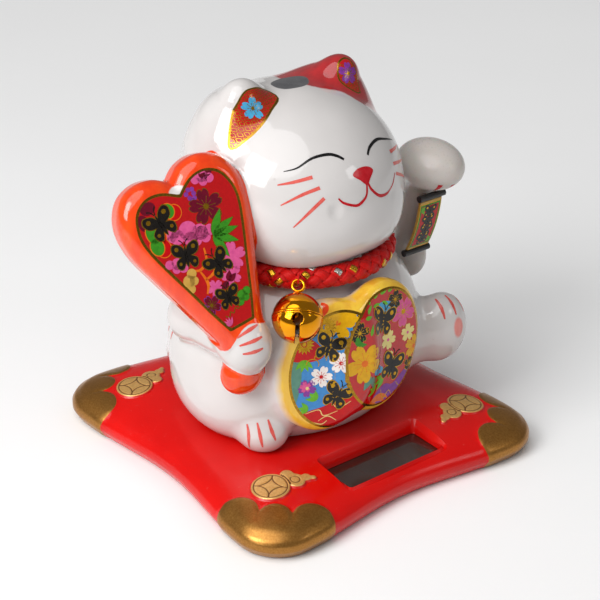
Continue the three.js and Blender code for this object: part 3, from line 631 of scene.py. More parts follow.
INKS = {
    "black": ("14110F", "1E1A16"),
    "maroon": ("6E0B24", "5A0A20"),
    "pink": ("DD5C93", "C94A86"),
    "purple": ("8C3E9C", "6F2F86"),
    "green": ("2F7A1C", "3E8F20"),
    "lime": ("58A51C", "6DB426"),
    "orange": ("E2701A", "D25F12"),
    "beige": ("CDA24C", "BE9140"),
    "white": ("F0E9E4", "E4DCD6"),
    "yellow": ("E3AC10", "CF980B"),
    "cream": ("E7D78A", "DCCB7C"),
    "red": ("C4070D", "B6050B"),
    "sky": ("4FA6CF", "4398C3"),
    "teal": ("5F8F7C", "4F8170"),
}
LOOKS = {
    "glaze": glaze_paint(),
    "red": red_plastic(),
    "gold": flat_finish("bell_gold", "F2A208", "E59204", 0.09, 1.0, 120, 0.00001, Coat_Weight=0.2,
        Coat_Roughness=0.02),
    "print_gold": ink("print_gold", "CFA02B", "A87A16", 0.24, 0.9),
    "brush_black": ink("brush_black", "0E0D0E", "1C1B1C", 0.16),
    "brush_red": ink("brush_red", "B10C19", "C2202A", 0.16),
    "brush_rose": ink("brush_rose", "CE4B45", "DB6A60", 0.16),
    "yarn": braid_paint("red_yarn", "DA0C06", "B00604"),
    "tinsel_gold": flat_finish("tinsel_gold", "E9B63A", "B88418", 0.22, 1.0, 1500, 0.0002),
    "tinsel_silver": flat_finish("tinsel_silver", "E6E3DE", "A8A39C", 0.2, 1.0, 1500, 0.0002),
    "arm": flat_finish("white_plastic", "CBC4BE", "C5BEB7", 0.3, 0.0, 700, 0.00003, Subsurface_Weight=0.15,
        Subsurface_Scale=0.004, Coat_Weight=0.15, Coat_Roughness=0.15),
    "black": flat_finish("black_plastic", "1A1817", "262322", 0.38, 0.0, 1100),
    "steel": flat_finish("turned_steel", "B9BBBE", "8F9296", 0.28, 1.0, 1900, 0.00003),
    "glue": flat_finish("glue", "E5DECA", "D8CFB6", 0.45, 0.0, 500, 0.0001),
    "board": flat_finish("board_green", "1C5F35", "154B29", 0.42, 0.0, 1400),
    "copper": flat_finish("copper_wire", "C0713F", "8E4B25", 0.3, 1.0, 4200, 0.00012),
    "wire_red": flat_finish("wire_red", "B21A1A", "9B1414", 0.42, 0.0, 1500),
    "wire_black": flat_finish("wire_black", "191817", "232120", 0.42, 0.0, 1500),
    "magnet": flat_finish("nickel", "C9C6C0", "A7A39B", 0.2, 1.0, 1300, 0.00002),
}


for name, (one, two) in INKS.items():
    LOOKS["print_" + name] = ink("print_" + name, one, two)


def solar_glass():
    """A dark thin-film cell: fine division lines across it under glass."""
    p = Paint("solar_glass", IOR=1.5, Coat_Weight=1.0, Coat_Roughness=0.02, Coat_IOR=1.52)
    x = p.node("ShaderNodeSeparateXYZ")
    p.wire(p.place, x.inputs[0])
    pitch = p.calc("ABSOLUTE",
        p.calc("SUBTRACT", p.calc("FRACT", p.calc("MULTIPLY", p.calc("ADD", x.outputs[0], 0.0011), 128.0)),
            0.5))
    line = p.span(pitch, 0.475, 0.492)
    film = p.mix(p.span(p.noise(120, 3.0), 0.3, 0.7), tone("1B1512"), tone("2A1F18"))
    p.set("Base Color", p.mix(p.calc("MULTIPLY", line, 0.22), film, tone("4A4038")))
    p.set("Roughness", p.span(p.noise(300, 2.0), 0.3, 0.7, 0.12, 0.2))
    p.bump(line, -0.00003)
    return p.material


LOOKS["cell"] = solar_glass()

# ------------------------------------------------------------------ the glazed cat
glaze = surface("cat_glaze", cat_shell, (-74, -44, 9), (62, 50, 130), 1.05,
    LOOKS["glaze"])
glaze_points = points_of(glaze)


def others(p, leave):
    """The least distance to the parts of the cat that a painted part meets."""
    parts = [ball(p, *HEAD), ball(p, *TORSO), ball(p, *PALM)]
    for at, r in (CHEEK, EAR_FOOT):
        parts += [ball(p, at, r), ball(p, mirror(at), r)]
    parts += [capsule(p, SHOULDER, ELBOW, 9.5, 8), capsule(p, ELBOW, WRIST, 8, 7.4)]
    if leave == "butt":
        parts.append(slab(p, FAN, FAN_OUTLINE, FAN_THICK, FAN_RIM))
    return np.minimum.reduce(parts)


def oval_field(name):
    plane = OVALS[name][0]
    a, b = 15.2, 19.4
    shift = 3.4 if name == "right" else 0.0

    def field(p):
        q = plane.local(p) - [shift, 0, 0]
        s = np.sqrt((q[:, 0] / a) ** 2 + (q[:, 1] / b) ** 2)
        return np.maximum(
            (s - 1) * (a * b / np.sqrt(
                (b * q[:, 0] / np.maximum(s, 1e-6) / a) ** 2 + (a * q[:, 1] / np.maximum(s, 1e-6) / b) ** 2
                    + 1e-6)), 1.6 - q[:, 2])

    return field


red_oval, blue_oval = oval_field("left"), oval_field("right")


def decal_field(p):
    q = FAN.local(p)
    return np.maximum(polygon_distance(DECAL_OUTLINE, q[:, :2]), -q[:, 2] - 4)


EAR_RIGHT = Plane((-19, 3.2, 116), 5, 10, 0)
EAR_LEFT = Plane((19, 3.2, 116), -5, 10, 0)
# Most points of these outlines were measured: places seen on the photo, taken through the camera onto
# the plane and rounded. The others were given.
EAR_PRINT = spline([(-10.2, -7.4), (-8.0, -0.6), (-5.0, 5.3), (-2.6, 8.2), (0.2, 8.9), (4.6, 8.0), (9.8, 4.7),
    (4.2, 1.9), (-1.4, -1.6), (-6.2, -4.8)], 4, True)
EAR_PRINT_LEFT = spline([(-2.3, 9.8), (0.5, 10.6), (2.4, 9.0), (3.2, 4.2), (2.4, -0.2), (-1.4, 1.6),
    (-4.2, 4.6), (-3.7, 7.6)], 4, True)
EAR_RED = spline([(2.4, 7.5), (6.1, 2.1), (12.2, -0.4), (15.8, -4.0), (20.4, -5.6), (26.5, -5.0), (33, 2),
    (36, 14), (30, 28), (14, 30), (3, 22), (0.5, 13)], 5, True)


def ear_field(p):
    """The print inside each ear."""
    right, left = EAR_RIGHT.local(p), EAR_LEFT.local(p)
    a = np.maximum(polygon_distance(EAR_PRINT, right[:, :2]), np.abs(right[:, 2]) - 9)
    b = np.maximum(polygon_distance(EAR_PRINT_LEFT, left[:, :2]), np.abs(left[:, 2]) - 9)
    return np.minimum(a, b)


def ear_patch(p):
    """Red brushed over the left ear and down that side of the crown."""
    return np.maximum(polygon_distance(EAR_RED, p[:, :2]), 105.5 - p[:, 2] - 0.25 * (p[:, 0] - 20))


q_fan = FAN.local(glaze_points)
fan_here = slab(glaze_points, FAN, FAN_OUTLINE, FAN_THICK, FAN_RIM) - others(glaze_points, "fan")
decal = decal_field(glaze_points)
ears = ear_field(glaze_points)
red_here, blue_here = red_oval(glaze_points), blue_oval(glaze_points)
store(glaze, "fan", np.clip(fan_here, -8, 8))
store(glaze, "butt", np.clip(ball(glaze_points, *BUTT) - others(glaze_points, "butt"), -8, 8))
store(glaze, "notch",
    np.hypot((q_fan[:, 0] + 0.2) / 2.6, (q_fan[:, 1] - 44.7) / 1.5) - 1 + np.maximum(-q_fan[:, 2] - 1.5, 0))
store(glaze, "decal", np.clip(decal, -8, 8))
store(glaze, "decal_line", np.clip(np.where(fan_here < 1.0, decal, 5), -8, 8))
store(glaze, "red", np.clip(red_here, -8, 8))
store(glaze, "blue", np.clip(np.maximum(blue_here, -red_here), -8, 8))
on_wall = (red_here > 0) & (red_here < 1.1) & (blue_here < 0.3)
lines = np.where(red_here < 0.42, red_here, np.where(np.abs(blue_here) < np.abs(red_here), blue_here,
    red_here))
store(glaze, "oval_line", np.clip(np.where(on_wall, 0, lines), -8, 8))
store(glaze, "yellow", np.clip(np.minimum(red_here, blue_here) - 3.6, -8, 8))
store(glaze, "ear_print", np.clip(ears, -8, 8))
store(glaze, "ear_line", np.clip(ears, -8, 8))
store(glaze, "ear_red", np.clip(ear_patch(glaze_points), -8, 8))
store(glaze, "spot", (np.hypot((glaze_points[:, 0] - 0.3) / 6.6, (glaze_points[:, 1] - 9.8) / 5.0) - 1) * 5
    + np.where(glaze_points[:, 2] > 112, 0, 50))
store(glaze, "pad", (np.linalg.norm((glaze_points - [42.5, -31, 38.5]) / [2.2, 3, 3.6], axis=1) - 1) * 2)
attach(glaze, "cat")
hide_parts("ceramic_cat")

glaze_faces = np.empty(len(glaze.data.loops), np.int32)
glaze.data.loops.foreach_get("vertex_index", glaze_faces)
glaze_tree = BVHTree.FromPolygons(glaze_points.tolist(), glaze_faces.reshape(-1, 4).tolist())


# ------------------------------------------------------------------ prints and brush strokes
class Sheets:
    """Thin painted shapes that lie on a surface, gathered by ink."""

    def __init__(self, prefix, body, slot, tree, field=None):
        self.prefix, self.body, self.slot, self.tree, self.field = prefix, body, slot, tree, field
        self.level, self.inks = 0, {}

    def put(self, ink_name, points, triangles, normals):
        lift = 0.035 + 0.012 * self.level
        store_ = self.inks.setdefault(ink_name, [[], [], [], 0])
        store_[0].append(points + normals * lift)
        store_[1].append(np.asarray(triangles) + store_[3])
        store_[2].append(normals)
        store_[3] += len(points)

    def normals(self, points, found):
        return unit_rows(slope(self.field, points)) if self.field else found

    def shape(self, ink_name, plane, outline, keep=None, reach=30.0, fine=1.1):
        """A flat outline thrown onto the surface along the plane's axis.

        keep(points) is below zero where it shows.
        """
        flat, triangles = fill(outline, fine)
        start = plane.world(flat) + plane.out * reach
        points, found, ok = np.zeros((len(flat), 3)), np.zeros((len(flat), 3)), np.zeros(len(flat), bool)
        down = Vector(-plane.out)
        for i, s in enumerate(start):
            hit = self.tree.ray_cast(Vector(s), down, 2 * reach)
            if hit[0] is not None:
                points[i], found[i], ok[i] = hit[0], hit[1], True
        value = keep(points) if keep else np.full(len(flat), -1.0)
        good = ok[triangles].all(1)
        triangles = triangles[good]
        if not len(triangles):
            return
        span = points[triangles]
        triangles = triangles[np.ptp(span, axis=1).max(1) < 3 * fine + 2.5]
        points, triangles, found = clip(points, triangles, value, found)
        if len(triangles):
            self.put(ink_name, points, triangles, self.normals(points, found))

    def stroke(self, ink_name, path, widths, steps=10, columns=5):
        """A brush stroke along points near the surface, with a width at each of them."""
        line = spline(path, steps)
        width = np.interp(np.linspace(0, 1, len(line)), np.linspace(0, 1, len(widths)), widths)
        line = self.snap(line)[0]
        tangent = unit_rows(np.gradient(line, axis=0))
        normal = self.normals(line, self.snap(line)[1])
        side = unit_rows(np.cross(normal, tangent))
        rows = [line + side * (width * c / 2)[:, None] for c in np.linspace(-1, 1, columns)]
        grid = np.stack(rows, 1).reshape(-1, 3)
        grid, found = self.snap(grid)
        n = len(line)
        tri = []
        for i in range(n - 1):
            for j in range(columns - 1):
                a = i * columns + j
                tri += [(a, a + columns + 1, a + 1), (a, a + columns, a + columns + 1)]
        self.put(ink_name, grid, tri, self.normals(grid, found))

    def snap(self, points):
        out, normals = np.array(points, float), np.zeros((len(points), 3))
        for i, q in enumerate(points):
            hit = self.tree.find_nearest(Vector(q))
            out[i], normals[i] = hit[0], hit[1]
        return out, normals

    def make(self):
        for ink_name, (points, triangles, normals, _) in self.inks.items():
            obj = mesh_object(f"{self.prefix}_{ink_name}", np.concatenate(points), np.concatenate(triangles),
                LOOKS[ink_name])
            if len(obj.data.vertices) == sum(len(n) for n in normals):
                use_normals(obj, np.concatenate(normals))
            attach(obj, self.body)


def unit_rows(v):
    return v / np.maximum(np.linalg.norm(v, axis=1, keepdims=True), 1e-9)


def fill(outline, fine):
    """Triangles that fill a closed outline, with points inside it no further apart than fine."""
    outline = np.asarray(outline, float)
    low, high = outline.min(0), outline.max(0)
    extra = np.zeros((0, 2))
    if min(high - low) > 1.2 * fine:
        gx, gy = np.meshgrid(np.arange(low[0] + fine / 2, high[0], fine),
            np.arange(low[1] + fine / 2, high[1], fine))
        grid = np.stack([gx.ravel(), gy.ravel()], 1)
        extra = grid[polygon_distance(outline, grid) < -0.25 * fine]
    points = np.concatenate([outline, extra])
    n = len(outline)
    made = delaunay_2d_cdt([Vector(q) for q in points], [], [list(range(n))], 1, 1e-5)
    return np.array([v[:] for v in made[0]]), np.array([f[:] for f in made[2]], int).reshape(-1, 3)


def clip(points, triangles, value, extra):
    """Keeps the part of the triangles where value is below zero."""
    inside = value < 0
    whole = inside[triangles].all(1)
    none = (~inside[triangles]).all(1)
    keep = [tuple(t) for t in triangles[whole]]
    points, extra = list(points), list(extra)
    for t in triangles[~whole & ~none]:
        ring = []
        for a, b in zip(t, (t[1], t[2], t[0])):
            if inside[a]:
                ring.append(a)
            if inside[a] != inside[b]:
                s = value[a] / (value[a] - value[b])
                points.append(points[a] + s * (points[b] - points[a]))
                extra.append(extra[a] + s * (extra[b] - extra[a]))
                ring.append(len(points) - 1)
        keep += [(ring[0], ring[i], ring[i + 1]) for i in range(1, len(ring) - 1)]
    return np.array(points), np.array(keep, int).reshape(-1, 3), np.array(extra)


def turned(points, at, angle=0.0, size=1.0):
    c, s = math.cos(angle * DEG), math.sin(angle * DEG)
    p = np.asarray(points, float) * size
    return np.stack([p[:, 0] * c - p[:, 1] * s + at[0], p[:, 0] * s + p[:, 1] * c + at[1]], 1)


def disc_2d(at, r, n=24):
    t = np.arange(n) * 2 * math.pi / n
    rx, ry = (r, r) if np.isscalar(r) else r
    return np.stack([at[0] + rx * np.cos(t), at[1] + ry * np.sin(t)], 1)


def blossom_2d(at, r, petals=5, angle=90.0, notch=0.16, deep=0.5, n=14):
    t = np.arange(petals * n) / n
    s = np.abs(2 * (t % 1) - 1)
    radius = r * (1 - deep * s**2.6) * (1 - notch * np.clip(1 - s / 0.18, 0, 1))
    a = (t - 0.5) / petals * 2 * math.pi + angle * DEG
    return np.stack([at[0] + radius * np.cos(a), at[1] + radius * np.sin(a)], 1)


def leaf_2d(at, angle, length, width, n=8):
    t = np.linspace(0, 1, n)
    half = width / 2 * np.sin(math.pi * t**0.75)
    return turned(
        np.concatenate([np.stack([t * length, half], 1), np.stack([t[::-1] * length, -half[::-1]], 1)[1:-1]]),
            at, angle)


def ribbon_2d(path, widths, steps=6):
    line = spline(path, steps)
    w = np.interp(np.linspace(0, 1, len(line)), np.linspace(0, 1, len(widths)), widths) / 2
    tangent = unit_rows(np.gradient(line, axis=0))
    side = np.stack([-tangent[:, 1], tangent[:, 0]], 1)
    return np.concatenate([line + side * w[:, None], (line - side * w[:, None])[::-1]])


class Motifs:
    """Ornament for one printed panel."""

    def __init__(self, sheets, plane, keep):
        self.sheets, self.plane, self.keep = sheets, plane, keep

    def lay(self, ink_name, outline, level, fine=1.1):
        self.sheets.level = level
        self.sheets.shape("print_" + ink_name, self.plane, outline, self.keep, fine=fine)

    def blossom(self, at, r, petal, level, line=None, heart="gold", angle=90.0, petals=5, rays=True):
        if line:
            self.lay(line, blossom_2d(at, r + 0.22, petals, angle), level)
        self.lay(petal, blossom_2d(at, r, petals, angle), level + 1)
        if rays:
            for k in range(petals * 2):
                a = (angle + (k + 0.5) * 180 / petals) * DEG
                near, far = 0.16 * r, (0.55 if k % 2 else 0.42) * r
                d = np.array([math.cos(a), math.sin(a)])
                self.lay(heart, ribbon_2d([at + d * near, at + d * far], [0.16, 0.12], 1), level + 2)
                self.lay(heart, disc_2d(at + d * far, 0.17, 6), level + 2)
        self.lay(heart, disc_2d(at, 0.17 * r, 10), level + 2)

    def chrysanthemum(self, at, r, ink_name, level, petals=16):
        for k in range(petals):
            a = k * 360 / petals
            d = np.array([math.cos(a * DEG), math.sin(a * DEG)])
            self.lay(ink_name, leaf_2d(at + d * 0.25 * r, a, 0.75 * r, 0.28 * r), level)
        self.lay(ink_name, disc_2d(at, 0.2 * r, 12), level + 1)

    def spray(self, at, angles, length, width, ink_name, level, line=None):
        for a in angles:
            if line:
                d = np.array([math.cos(a * DEG), math.sin(a * DEG)])
                self.lay(line, leaf_2d(at - d * 0.3, a, length + 0.6, width + 0.5), level)
            self.lay(ink_name, leaf_2d(at, a, length, width), level + 1)

    def cloud(self, at, size, ink_name, level, line=None, angle=0.0):
        """A bank of three to five round puffs."""
        for dx, dy, r in [(-1.0, 0, 0.62), (0, 0.35, 0.8), (1.0, 0.05, 0.66), (0.1, -0.35, 0.6)]:
            c = turned([(dx, dy)], at, angle, size)[0]
            if line:
                self.lay(line, disc_2d(c, r * size + 0.2), level)
            self.lay(ink_name, disc_2d(c, r * size), level + 1)

    def butterfly(self, at, size, level, angle=0.0, line="gold"):
        """A black butterfly edged in gold."""
        upper = np.array([(0.02, 0.12), (0.22, 0.72), (0.78, 1.0), (1.05, 0.72), (0.9, 0.22), (0.4, 0.0)])
        lower = np.array([(0.05, 0.02), (0.5, -0.08), (0.82, -0.34), (0.74, -0.8), (0.42, -0.9),
            (0.12, -0.42)])
        for step, grow, name in ((0, 0.24, line), (1, 0.0, "black")):
            for side in (1, -1):
                for wing in (upper, lower):
                    centre = wing.mean(0)
                    loop = spline(centre + (wing - centre) * (1 + grow / (0.45 * size)), 5, True) * [side, 1]
                    self.lay(name, turned(loop[::side], at, angle, size), level + step)
            self.lay(name,
                turned(leaf_2d((0, -0.85 - grow / size), 90, 1.7 + 2 * grow / size, 0.26 + 2 * grow / size),
                    at, angle, size), level + step)
        for side in (1, -1):
            for x, y, r in ((0.66, 0.62, 0.17), (0.55, -0.5, 0.13)):
                self.lay(line if line != "black" else "gold",
                    disc_2d(turned([(side * x, y)], at, angle, size)[0], r * size, 10), level + 2)
            self.lay(name,
                turned(ribbon_2d([(0.03 * side, 0.8), (0.16 * side, 1.1), (0.36 * side, 1.26)],
                    [0.07, 0.06, 0.09], 4), at, angle, size), level + 1)


glaze_prints = Sheets("print", "cat", "white_glaze", glaze_tree, cat_shell)

# the fan's panel
fan_panel = Motifs(glaze_prints, FAN, lambda p: decal_field(p) + 0.3)
fp = fan_panel
fp.cloud((-2.8, 31.6), 3.6, "pink", 0, angle=-15)
fp.cloud((1.2, 29.4), 2.6, "pink", 0, angle=10)
fp.cloud((-8.2, 33.6), 1.9, "pink", 0)
fp.blossom((6.2, 19.6), 4.6, "pink", 0, rays=False, heart="pink", angle=70)
fp.blossom((3.6, 14.6), 3.3, "pink", 0, rays=False, heart="pink", angle=20)
fp.blossom((-2.6, 13.6), 2.7, "pink", 0, rays=False, heart="pink", angle=100)
fp.cloud((-10.4, 25.0), 2.2, "pink", 0, angle=-40)
fp.cloud((8.4, 44.4), 2.2, "pink", 0, angle=-20)
fp.lay("maroon", disc_2d((10.0, 45.6), (2.2, 1.4)), 1)
fp.lay("maroon", disc_2d((-10.6, 44.2), (2.4, 1.9)), 0)
fp.lay("maroon", disc_2d((-13.6, 40.9), (1.7, 2.6)), 0)
for path in ([(-7.4, 22.2), (-4.4, 20.6), (-1.4, 22.3), (-0.4, 26)],
    [(-4.6, 20.4), (-4.0, 16.0), (-5.6, 13.2)], [(-4.2, 17.2), (-1.2, 17.8), (0.6, 19.6)]):
    fp.lay("orange", ribbon_2d(path, [0.5, 1.0, 0.5]), 2)
fp.cloud((-8.3, 18.9), 2.3, "beige", 3, angle=60)
for at, r in (((-5.4, 40.8), (1.9, 2.2)), ((-12.7, 36.8), (1.8, 2.9)), ((-13.0, 32.9), (2.0, 2.6))):
    fp.lay("orange", disc_2d((at[0] + 1.5, at[1] - 1.2), (r[0] + 0.6, r[1] + 0.4)), 2)
    fp.lay("red", disc_2d((at[0] + 1.5, at[1] - 1.2), (r[0] + 0.3, r[1] + 0.1)), 3)
    fp.lay("orange", disc_2d(at, (r[0] + 0.3, r[1] + 0.3)), 4)
    fp.lay("green", disc_2d(at, r), 5)
for k in range(7):
    a = k * 51.4 * DEG
    fp.lay("purple", disc_2d((3.2 + 1.5 * math.cos(a) * (1 if k % 2 else 0.6), 41.8 + 1.7 * math.sin(a)),
        0.75, 10), 1)
fp.blossom((5.8, 36.6), 5.4, "maroon", 2, line="gold", angle=80)
fp.spray((3.9, 28.0), (14, -8, -38, -78, 48), 8.2, 2.5, "green", 4, line="gold")
fp.blossom((-6.0, 9.6), 3.0, "maroon", 2, line="purple", angle=30)
fp.spray((2.0, 13.4), (20, 60, -160), 3.4, 2.0, "maroon", 3)
fp.cloud((4.2, 7.2), 1.9, "green", 3, line="gold", angle=30)
for k in range(4):
    fp.lay("gold",
        ribbon_2d(spline([(-3.6 + 1.9 * k, 4.6 + 0.5 * k), (-2.7 + 1.9 * k, 3.7 + 0.5 * k),
            (-1.8 + 1.9 * k, 4.9 + 0.5 * k)], 4), [0.28], 1), 3)
fp.spray((-3.2, 1.2), (60, 85, 105, 125, 150), 2.8, 0.7, "pink", 4)
for at, size, angle in (((-9.0, 38.2), 4.4, 10), ((-6.3, 26.4), 4.0, -14), ((1.7, 19.6), 3.9, 16),
    ((-0.2, 9.2), 3.4, -8)):
    fp.butterfly(at, size, 7, angle)

# the right-hand oval, and the left-hand one that lies over its edge
blue = Motifs(glaze_prints, OVALS["right"][0], lambda p: np.maximum(blue_oval(p) + 0.4, 0.45 - red_oval(p)))
blue.lay("teal", disc_2d((-15.0, -8.0), (7.5, 15.0), 40), 0)
blue.lay("yellow", disc_2d((-1.0, 18.5), (7.5, 4.6), 30), 0)
blue.blossom((0.2, 15.2), 5.4, "yellow", 0, rays=False, heart="orange")
blue.lay("red", spline([(-14, 9.5), (-6.5, 8.8), (-2.0, 4.6), (-6.0, 1.8), (-14, 2.0)], 6, True), 1, fine=0.6)
blue.lay("red", spline([(-5, -16.0), (1.5, -12.4), (7, -8.8), (14, -7.0), (16, -16), (6, -24), (-4, -21)], 6,
    True), 1, fine=0.45)
for path in ([(-4, -15.6), (0.0, -13.8), (2.0, -15.6), (6.2, -13.6)],
    [(0.6, -17.6), (3.2, -15.6), (6.4, -16.8)], [(4.2, -11.4), (6.4, -12.6), (9.6, -9.6)],
        [(-1.2, -18.2), (1.8, -18.6), (3.4, -17.2)]):
    blue.lay("cream", ribbon_2d(path, [0.16, 0.32, 0.16], 5), 2)
blue.spray((-8.2, 2.2), (-60, -90, -120, -35), 4.2, 1.5, "lime", 2)
blue.spray((-1.2, -10.4), (150, 185, 120), 4.0, 1.5, "lime", 2)
blue.spray((-3.4, -14.2), (140, 175, 205), 3.6, 1.5, "lime", 2)
blue.chrysanthemum((-3.3, 13.6), 3.4, "gold", 3)
blue.chrysanthemum((-9.1, 7.2), 3.3, "gold", 3)
blue.blossom((-1.6, -2.7), 3.7, "white", 3, heart="red", angle=80)
blue.blossom((3.4, 2.9), 3.6, "white", 3, heart="red", angle=100)
blue.blossom((-5.3, -6.9), 3.1, "purple", 3, rays=False, heart="cream", angle=60)
blue.lay("pink", blossom_2d((-6.0, -6.6), 1.9, 5, 110), 5)
for centre in ((-3.0, 3.4), (-5.2, 1.2)):
    t = np.linspace(-20, 200, 12) * DEG
    blue.lay("gold", ribbon_2d(np.stack([centre[0] + 2.0 * np.cos(t), centre[1] + 1.6 * np.sin(t)], 1),
        [0.28], 2), 4)
blue.butterfly((-1.0, 7.2), 4.3, 6, -8)
blue.butterfly((4.8, -8.4), 4.3, 6, -14)

SHIFT = np.array([2.6, 0.0])
scarlet = Motifs(glaze_prints, OVALS["left"][0], lambda p: red_oval(p) + 0.4)


def over(x, y):
    return SHIFT + (x, y)


scarlet.lay("sky", disc_2d(over(-4.0, 13.6), (4.2, 1.7)), 0)
scarlet.lay("sky", disc_2d(over(-1.8, 12.0), (3.4, 1.4)), 0)
for x, y, a in ((-9.6, 16.2, 70), (-7.4, 17.6, 30), (-6.2, 15.2, -20), (-9.8, 13.6, 20), (-11.4, 14.4, 110),
    (-12.2, 11.6, 60), (-8.4, 12.4, -20), (-4.2, 18.2, 40), (-13.4, 10.2, 10)):
    scarlet.lay("lime", leaf_2d(over(x, y), a, 3.2, 1.3), 1)
scarlet.spray(over(-15.2, 1.6), (10, 50, 90), 3.6, 1.6, "green", 1)
scarlet.lay("lime", leaf_2d(over(-10.6, 4.8), 80, 3.8, 1.4), 1)
scarlet.blossom(over(4.0, 11.4), 5.3, "pink", 1, line="gold", angle=60)
scarlet.blossom(over(-0.5, 15.6), 3.1, "black", 4, line="gold", angle=90)
scarlet.blossom(over(-14.9, 5.8), 3.4, "black", 1, line="gold", angle=90)
scarlet.blossom(over(-1.0, 2.4), 3.4, "cream", 1, rays=False, heart="pink", angle=75)
scarlet.blossom(over(7.6, 4.2), 3.1, "cream", 1, rays=False, heart="pink", angle=100)
scarlet.blossom(over(0.6, -3.6), 2.4, "cream", 1, rays=False, heart="pink", angle=60)
scarlet.blossom(over(-11.2, -4.2), 6.8, "yellow", 1, heart="orange", angle=60)
scarlet.blossom(over(11.6, -0.6), 4.2, "yellow", 1, heart="orange", angle=90)
scarlet.lay("teal", leaf_2d(over(-8.0, -8.4), -110, 5.2, 2.4), 2)
scarlet.lay("teal", leaf_2d(over(-7.2, -8.6), -70, 5.0, 2.2), 2)
scarlet.cloud(over(-4.2, -7.4), 1.7, "sky", 3)
for x, y in ((-5.0, -7.2), (-4.2, -8.4), (-3.6, -6.8), (-5.6, -8.8), (-4.6, -6.2)):
    scarlet.lay("red", disc_2d(over(x, y), 0.35, 8), 6)
scarlet.spray(over(-0.2, -10.6), (200, 235, 165), 4.4, 1.7, "lime", 2)
scarlet.spray(over(-3.6, -14.2), (160, 120, 200), 4.0, 1.6, "lime", 2)
scarlet.lay("purple",
    spline([over(*v) for v in ((-3.5, -17), (0.5, -12.6), (4.4, -12.6), (8.4, -8.6), (13, -5.6), (13, -14),
        (6, -21), (-2, -20))], 6, True), 1, fine=0.6)
scarlet.lay("orange",
    spline([over(*v) for v in ((-4.5, -19), (-1.5, -15.8), (2.2, -16.2), (4.4, -20), (0, -22))], 6, True), 2)
scarlet.lay("red", spline([over(*v) for v in ((3.6, -19.5), (6.4, -15.8), (11, -13.6), (11, -20), (6, -23))],
    6, True), 2)
for path in ([(-0.6, -14.2), (1.2, -17.4), (3.2, -14.8), (5.4, -17.6)],
    [(3.4, -18.6), (6.2, -15.2), (9.4, -15.4)], [(5.8, -12.2), (8.2, -13.6), (10.6, -9.6)],
        [(1.0, -19.2), (4.6, -17.4), (8.0, -17.6)]):
    scarlet.lay("gold", ribbon_2d([over(*v) for v in path], [0.15, 0.3, 0.15], 5), 4)
scarlet.blossom(over(10.8, -6.4), 2.4, "black", 4, line="gold", angle=90)
scarlet.butterfly(over(-4.6, 8.8), 4.6, 7, -6)
scarlet.butterfly(over(2.6, -6.6), 4.6, 7, -10)

# the prints in the ears
for plane, side in ((EAR_RIGHT, 1), (EAR_LEFT, -1)):
    ear = Motifs(glaze_prints, plane, lambda p: ear_field(p) + 0.25)
    for gx in np.arange(-10, 10, 1.5):
        for gy in np.arange(-8, 10, 1.5):
            c = np.array([gx + (0.75 if round(gy / 1.5) % 2 else 0), gy]) * [side, 1]
            square = turned([(-0.5, -0.5), (0.5, -0.5), (0.5, 0.5), (-0.5, 0.5)], c, 0)
            for k in range(4):
                a, b = square[[k, (k + 1) % 4]]
                ear.lay("gold", ribbon_2d([a, b], [0.15], 1), 0)
    bloom = np.array([-1.2, 3.4] if side > 0 else [-0.5, 6.2])
    ear.blossom(bloom, 3.4, "sky" if side > 0 else "purple", 1, heart="gold", angle=80)

# brushed lines of the face and paws
gp = glaze_prints
gp.level = 2
gp.stroke("brush_black", [(-21.8, -15.4, 105.5), (-18.4, -17.6, 106.6), (-13.7, -18.7, 108.9),
    (-9.0, -20.3, 109.6), (-6.5, -21.7, 109.0), (-4.8, -23.0, 107.9)], [0.2, 0.55, 0.8, 1.0, 0.95, 0.75])
gp.stroke("brush_black", [(4.1, -23.5, 107.3), (6.5, -21.9, 109.0), (11.2, -19.8, 109.6), (16, -18.2, 108.0),
    (20.5, -15.6, 105.4)], [0.75, 0.95, 1.0, 0.7, 0.2])
gp.stroke("brush_red", [(0.6, -27.4, 101.7), (-0.2, -28.9, 97.5), (-2.4, -29.4, 95.6), (-4.7, -29.2, 95.0),
    (-8.3, -28.0, 96.3), (-9.9, -27.1, 97.9)], [0.65, 0.7, 0.95, 0.85, 0.75, 0.45])
gp.stroke("brush_red", [(0.7, -27.4, 101.6), (1.9, -28.4, 98.4), (5.5, -29.0, 95.5), (11.0, -27.3, 95.6),
    (14.9, -24.6, 99.2)], [0.65, 0.85, 1.0, 0.75, 0.4])
for path in (
    [(-15.6, -21.5, 104.3), (-20.2, -18.9, 103.0), (-24.2, -15.6, 101.8)],
    [(-14.5, -23.8, 101.4), (-19.4, -21.5, 99.5), (-24.6, -17.9, 96.1)],
    [(-13.9, -25.3, 98.4), (-18.1, -23.9, 94.5), (-22.4, -21.5, 89.6)],
    [(15.6, -21.4, 105.0), (20.4, -18.6, 104.2), (24.6, -15.2, 103.4)],
    [(15.2, -23.2, 101.6), (20.0, -20.6, 100.2), (25.0, -16.8, 98.4)],
    [(15.6, -24.2, 98.6), (20.4, -21.8, 96.0), (25.4, -18.0, 92.6)],
):
    gp.stroke("brush_rose", path, [1.15, 1.0, 0.35])
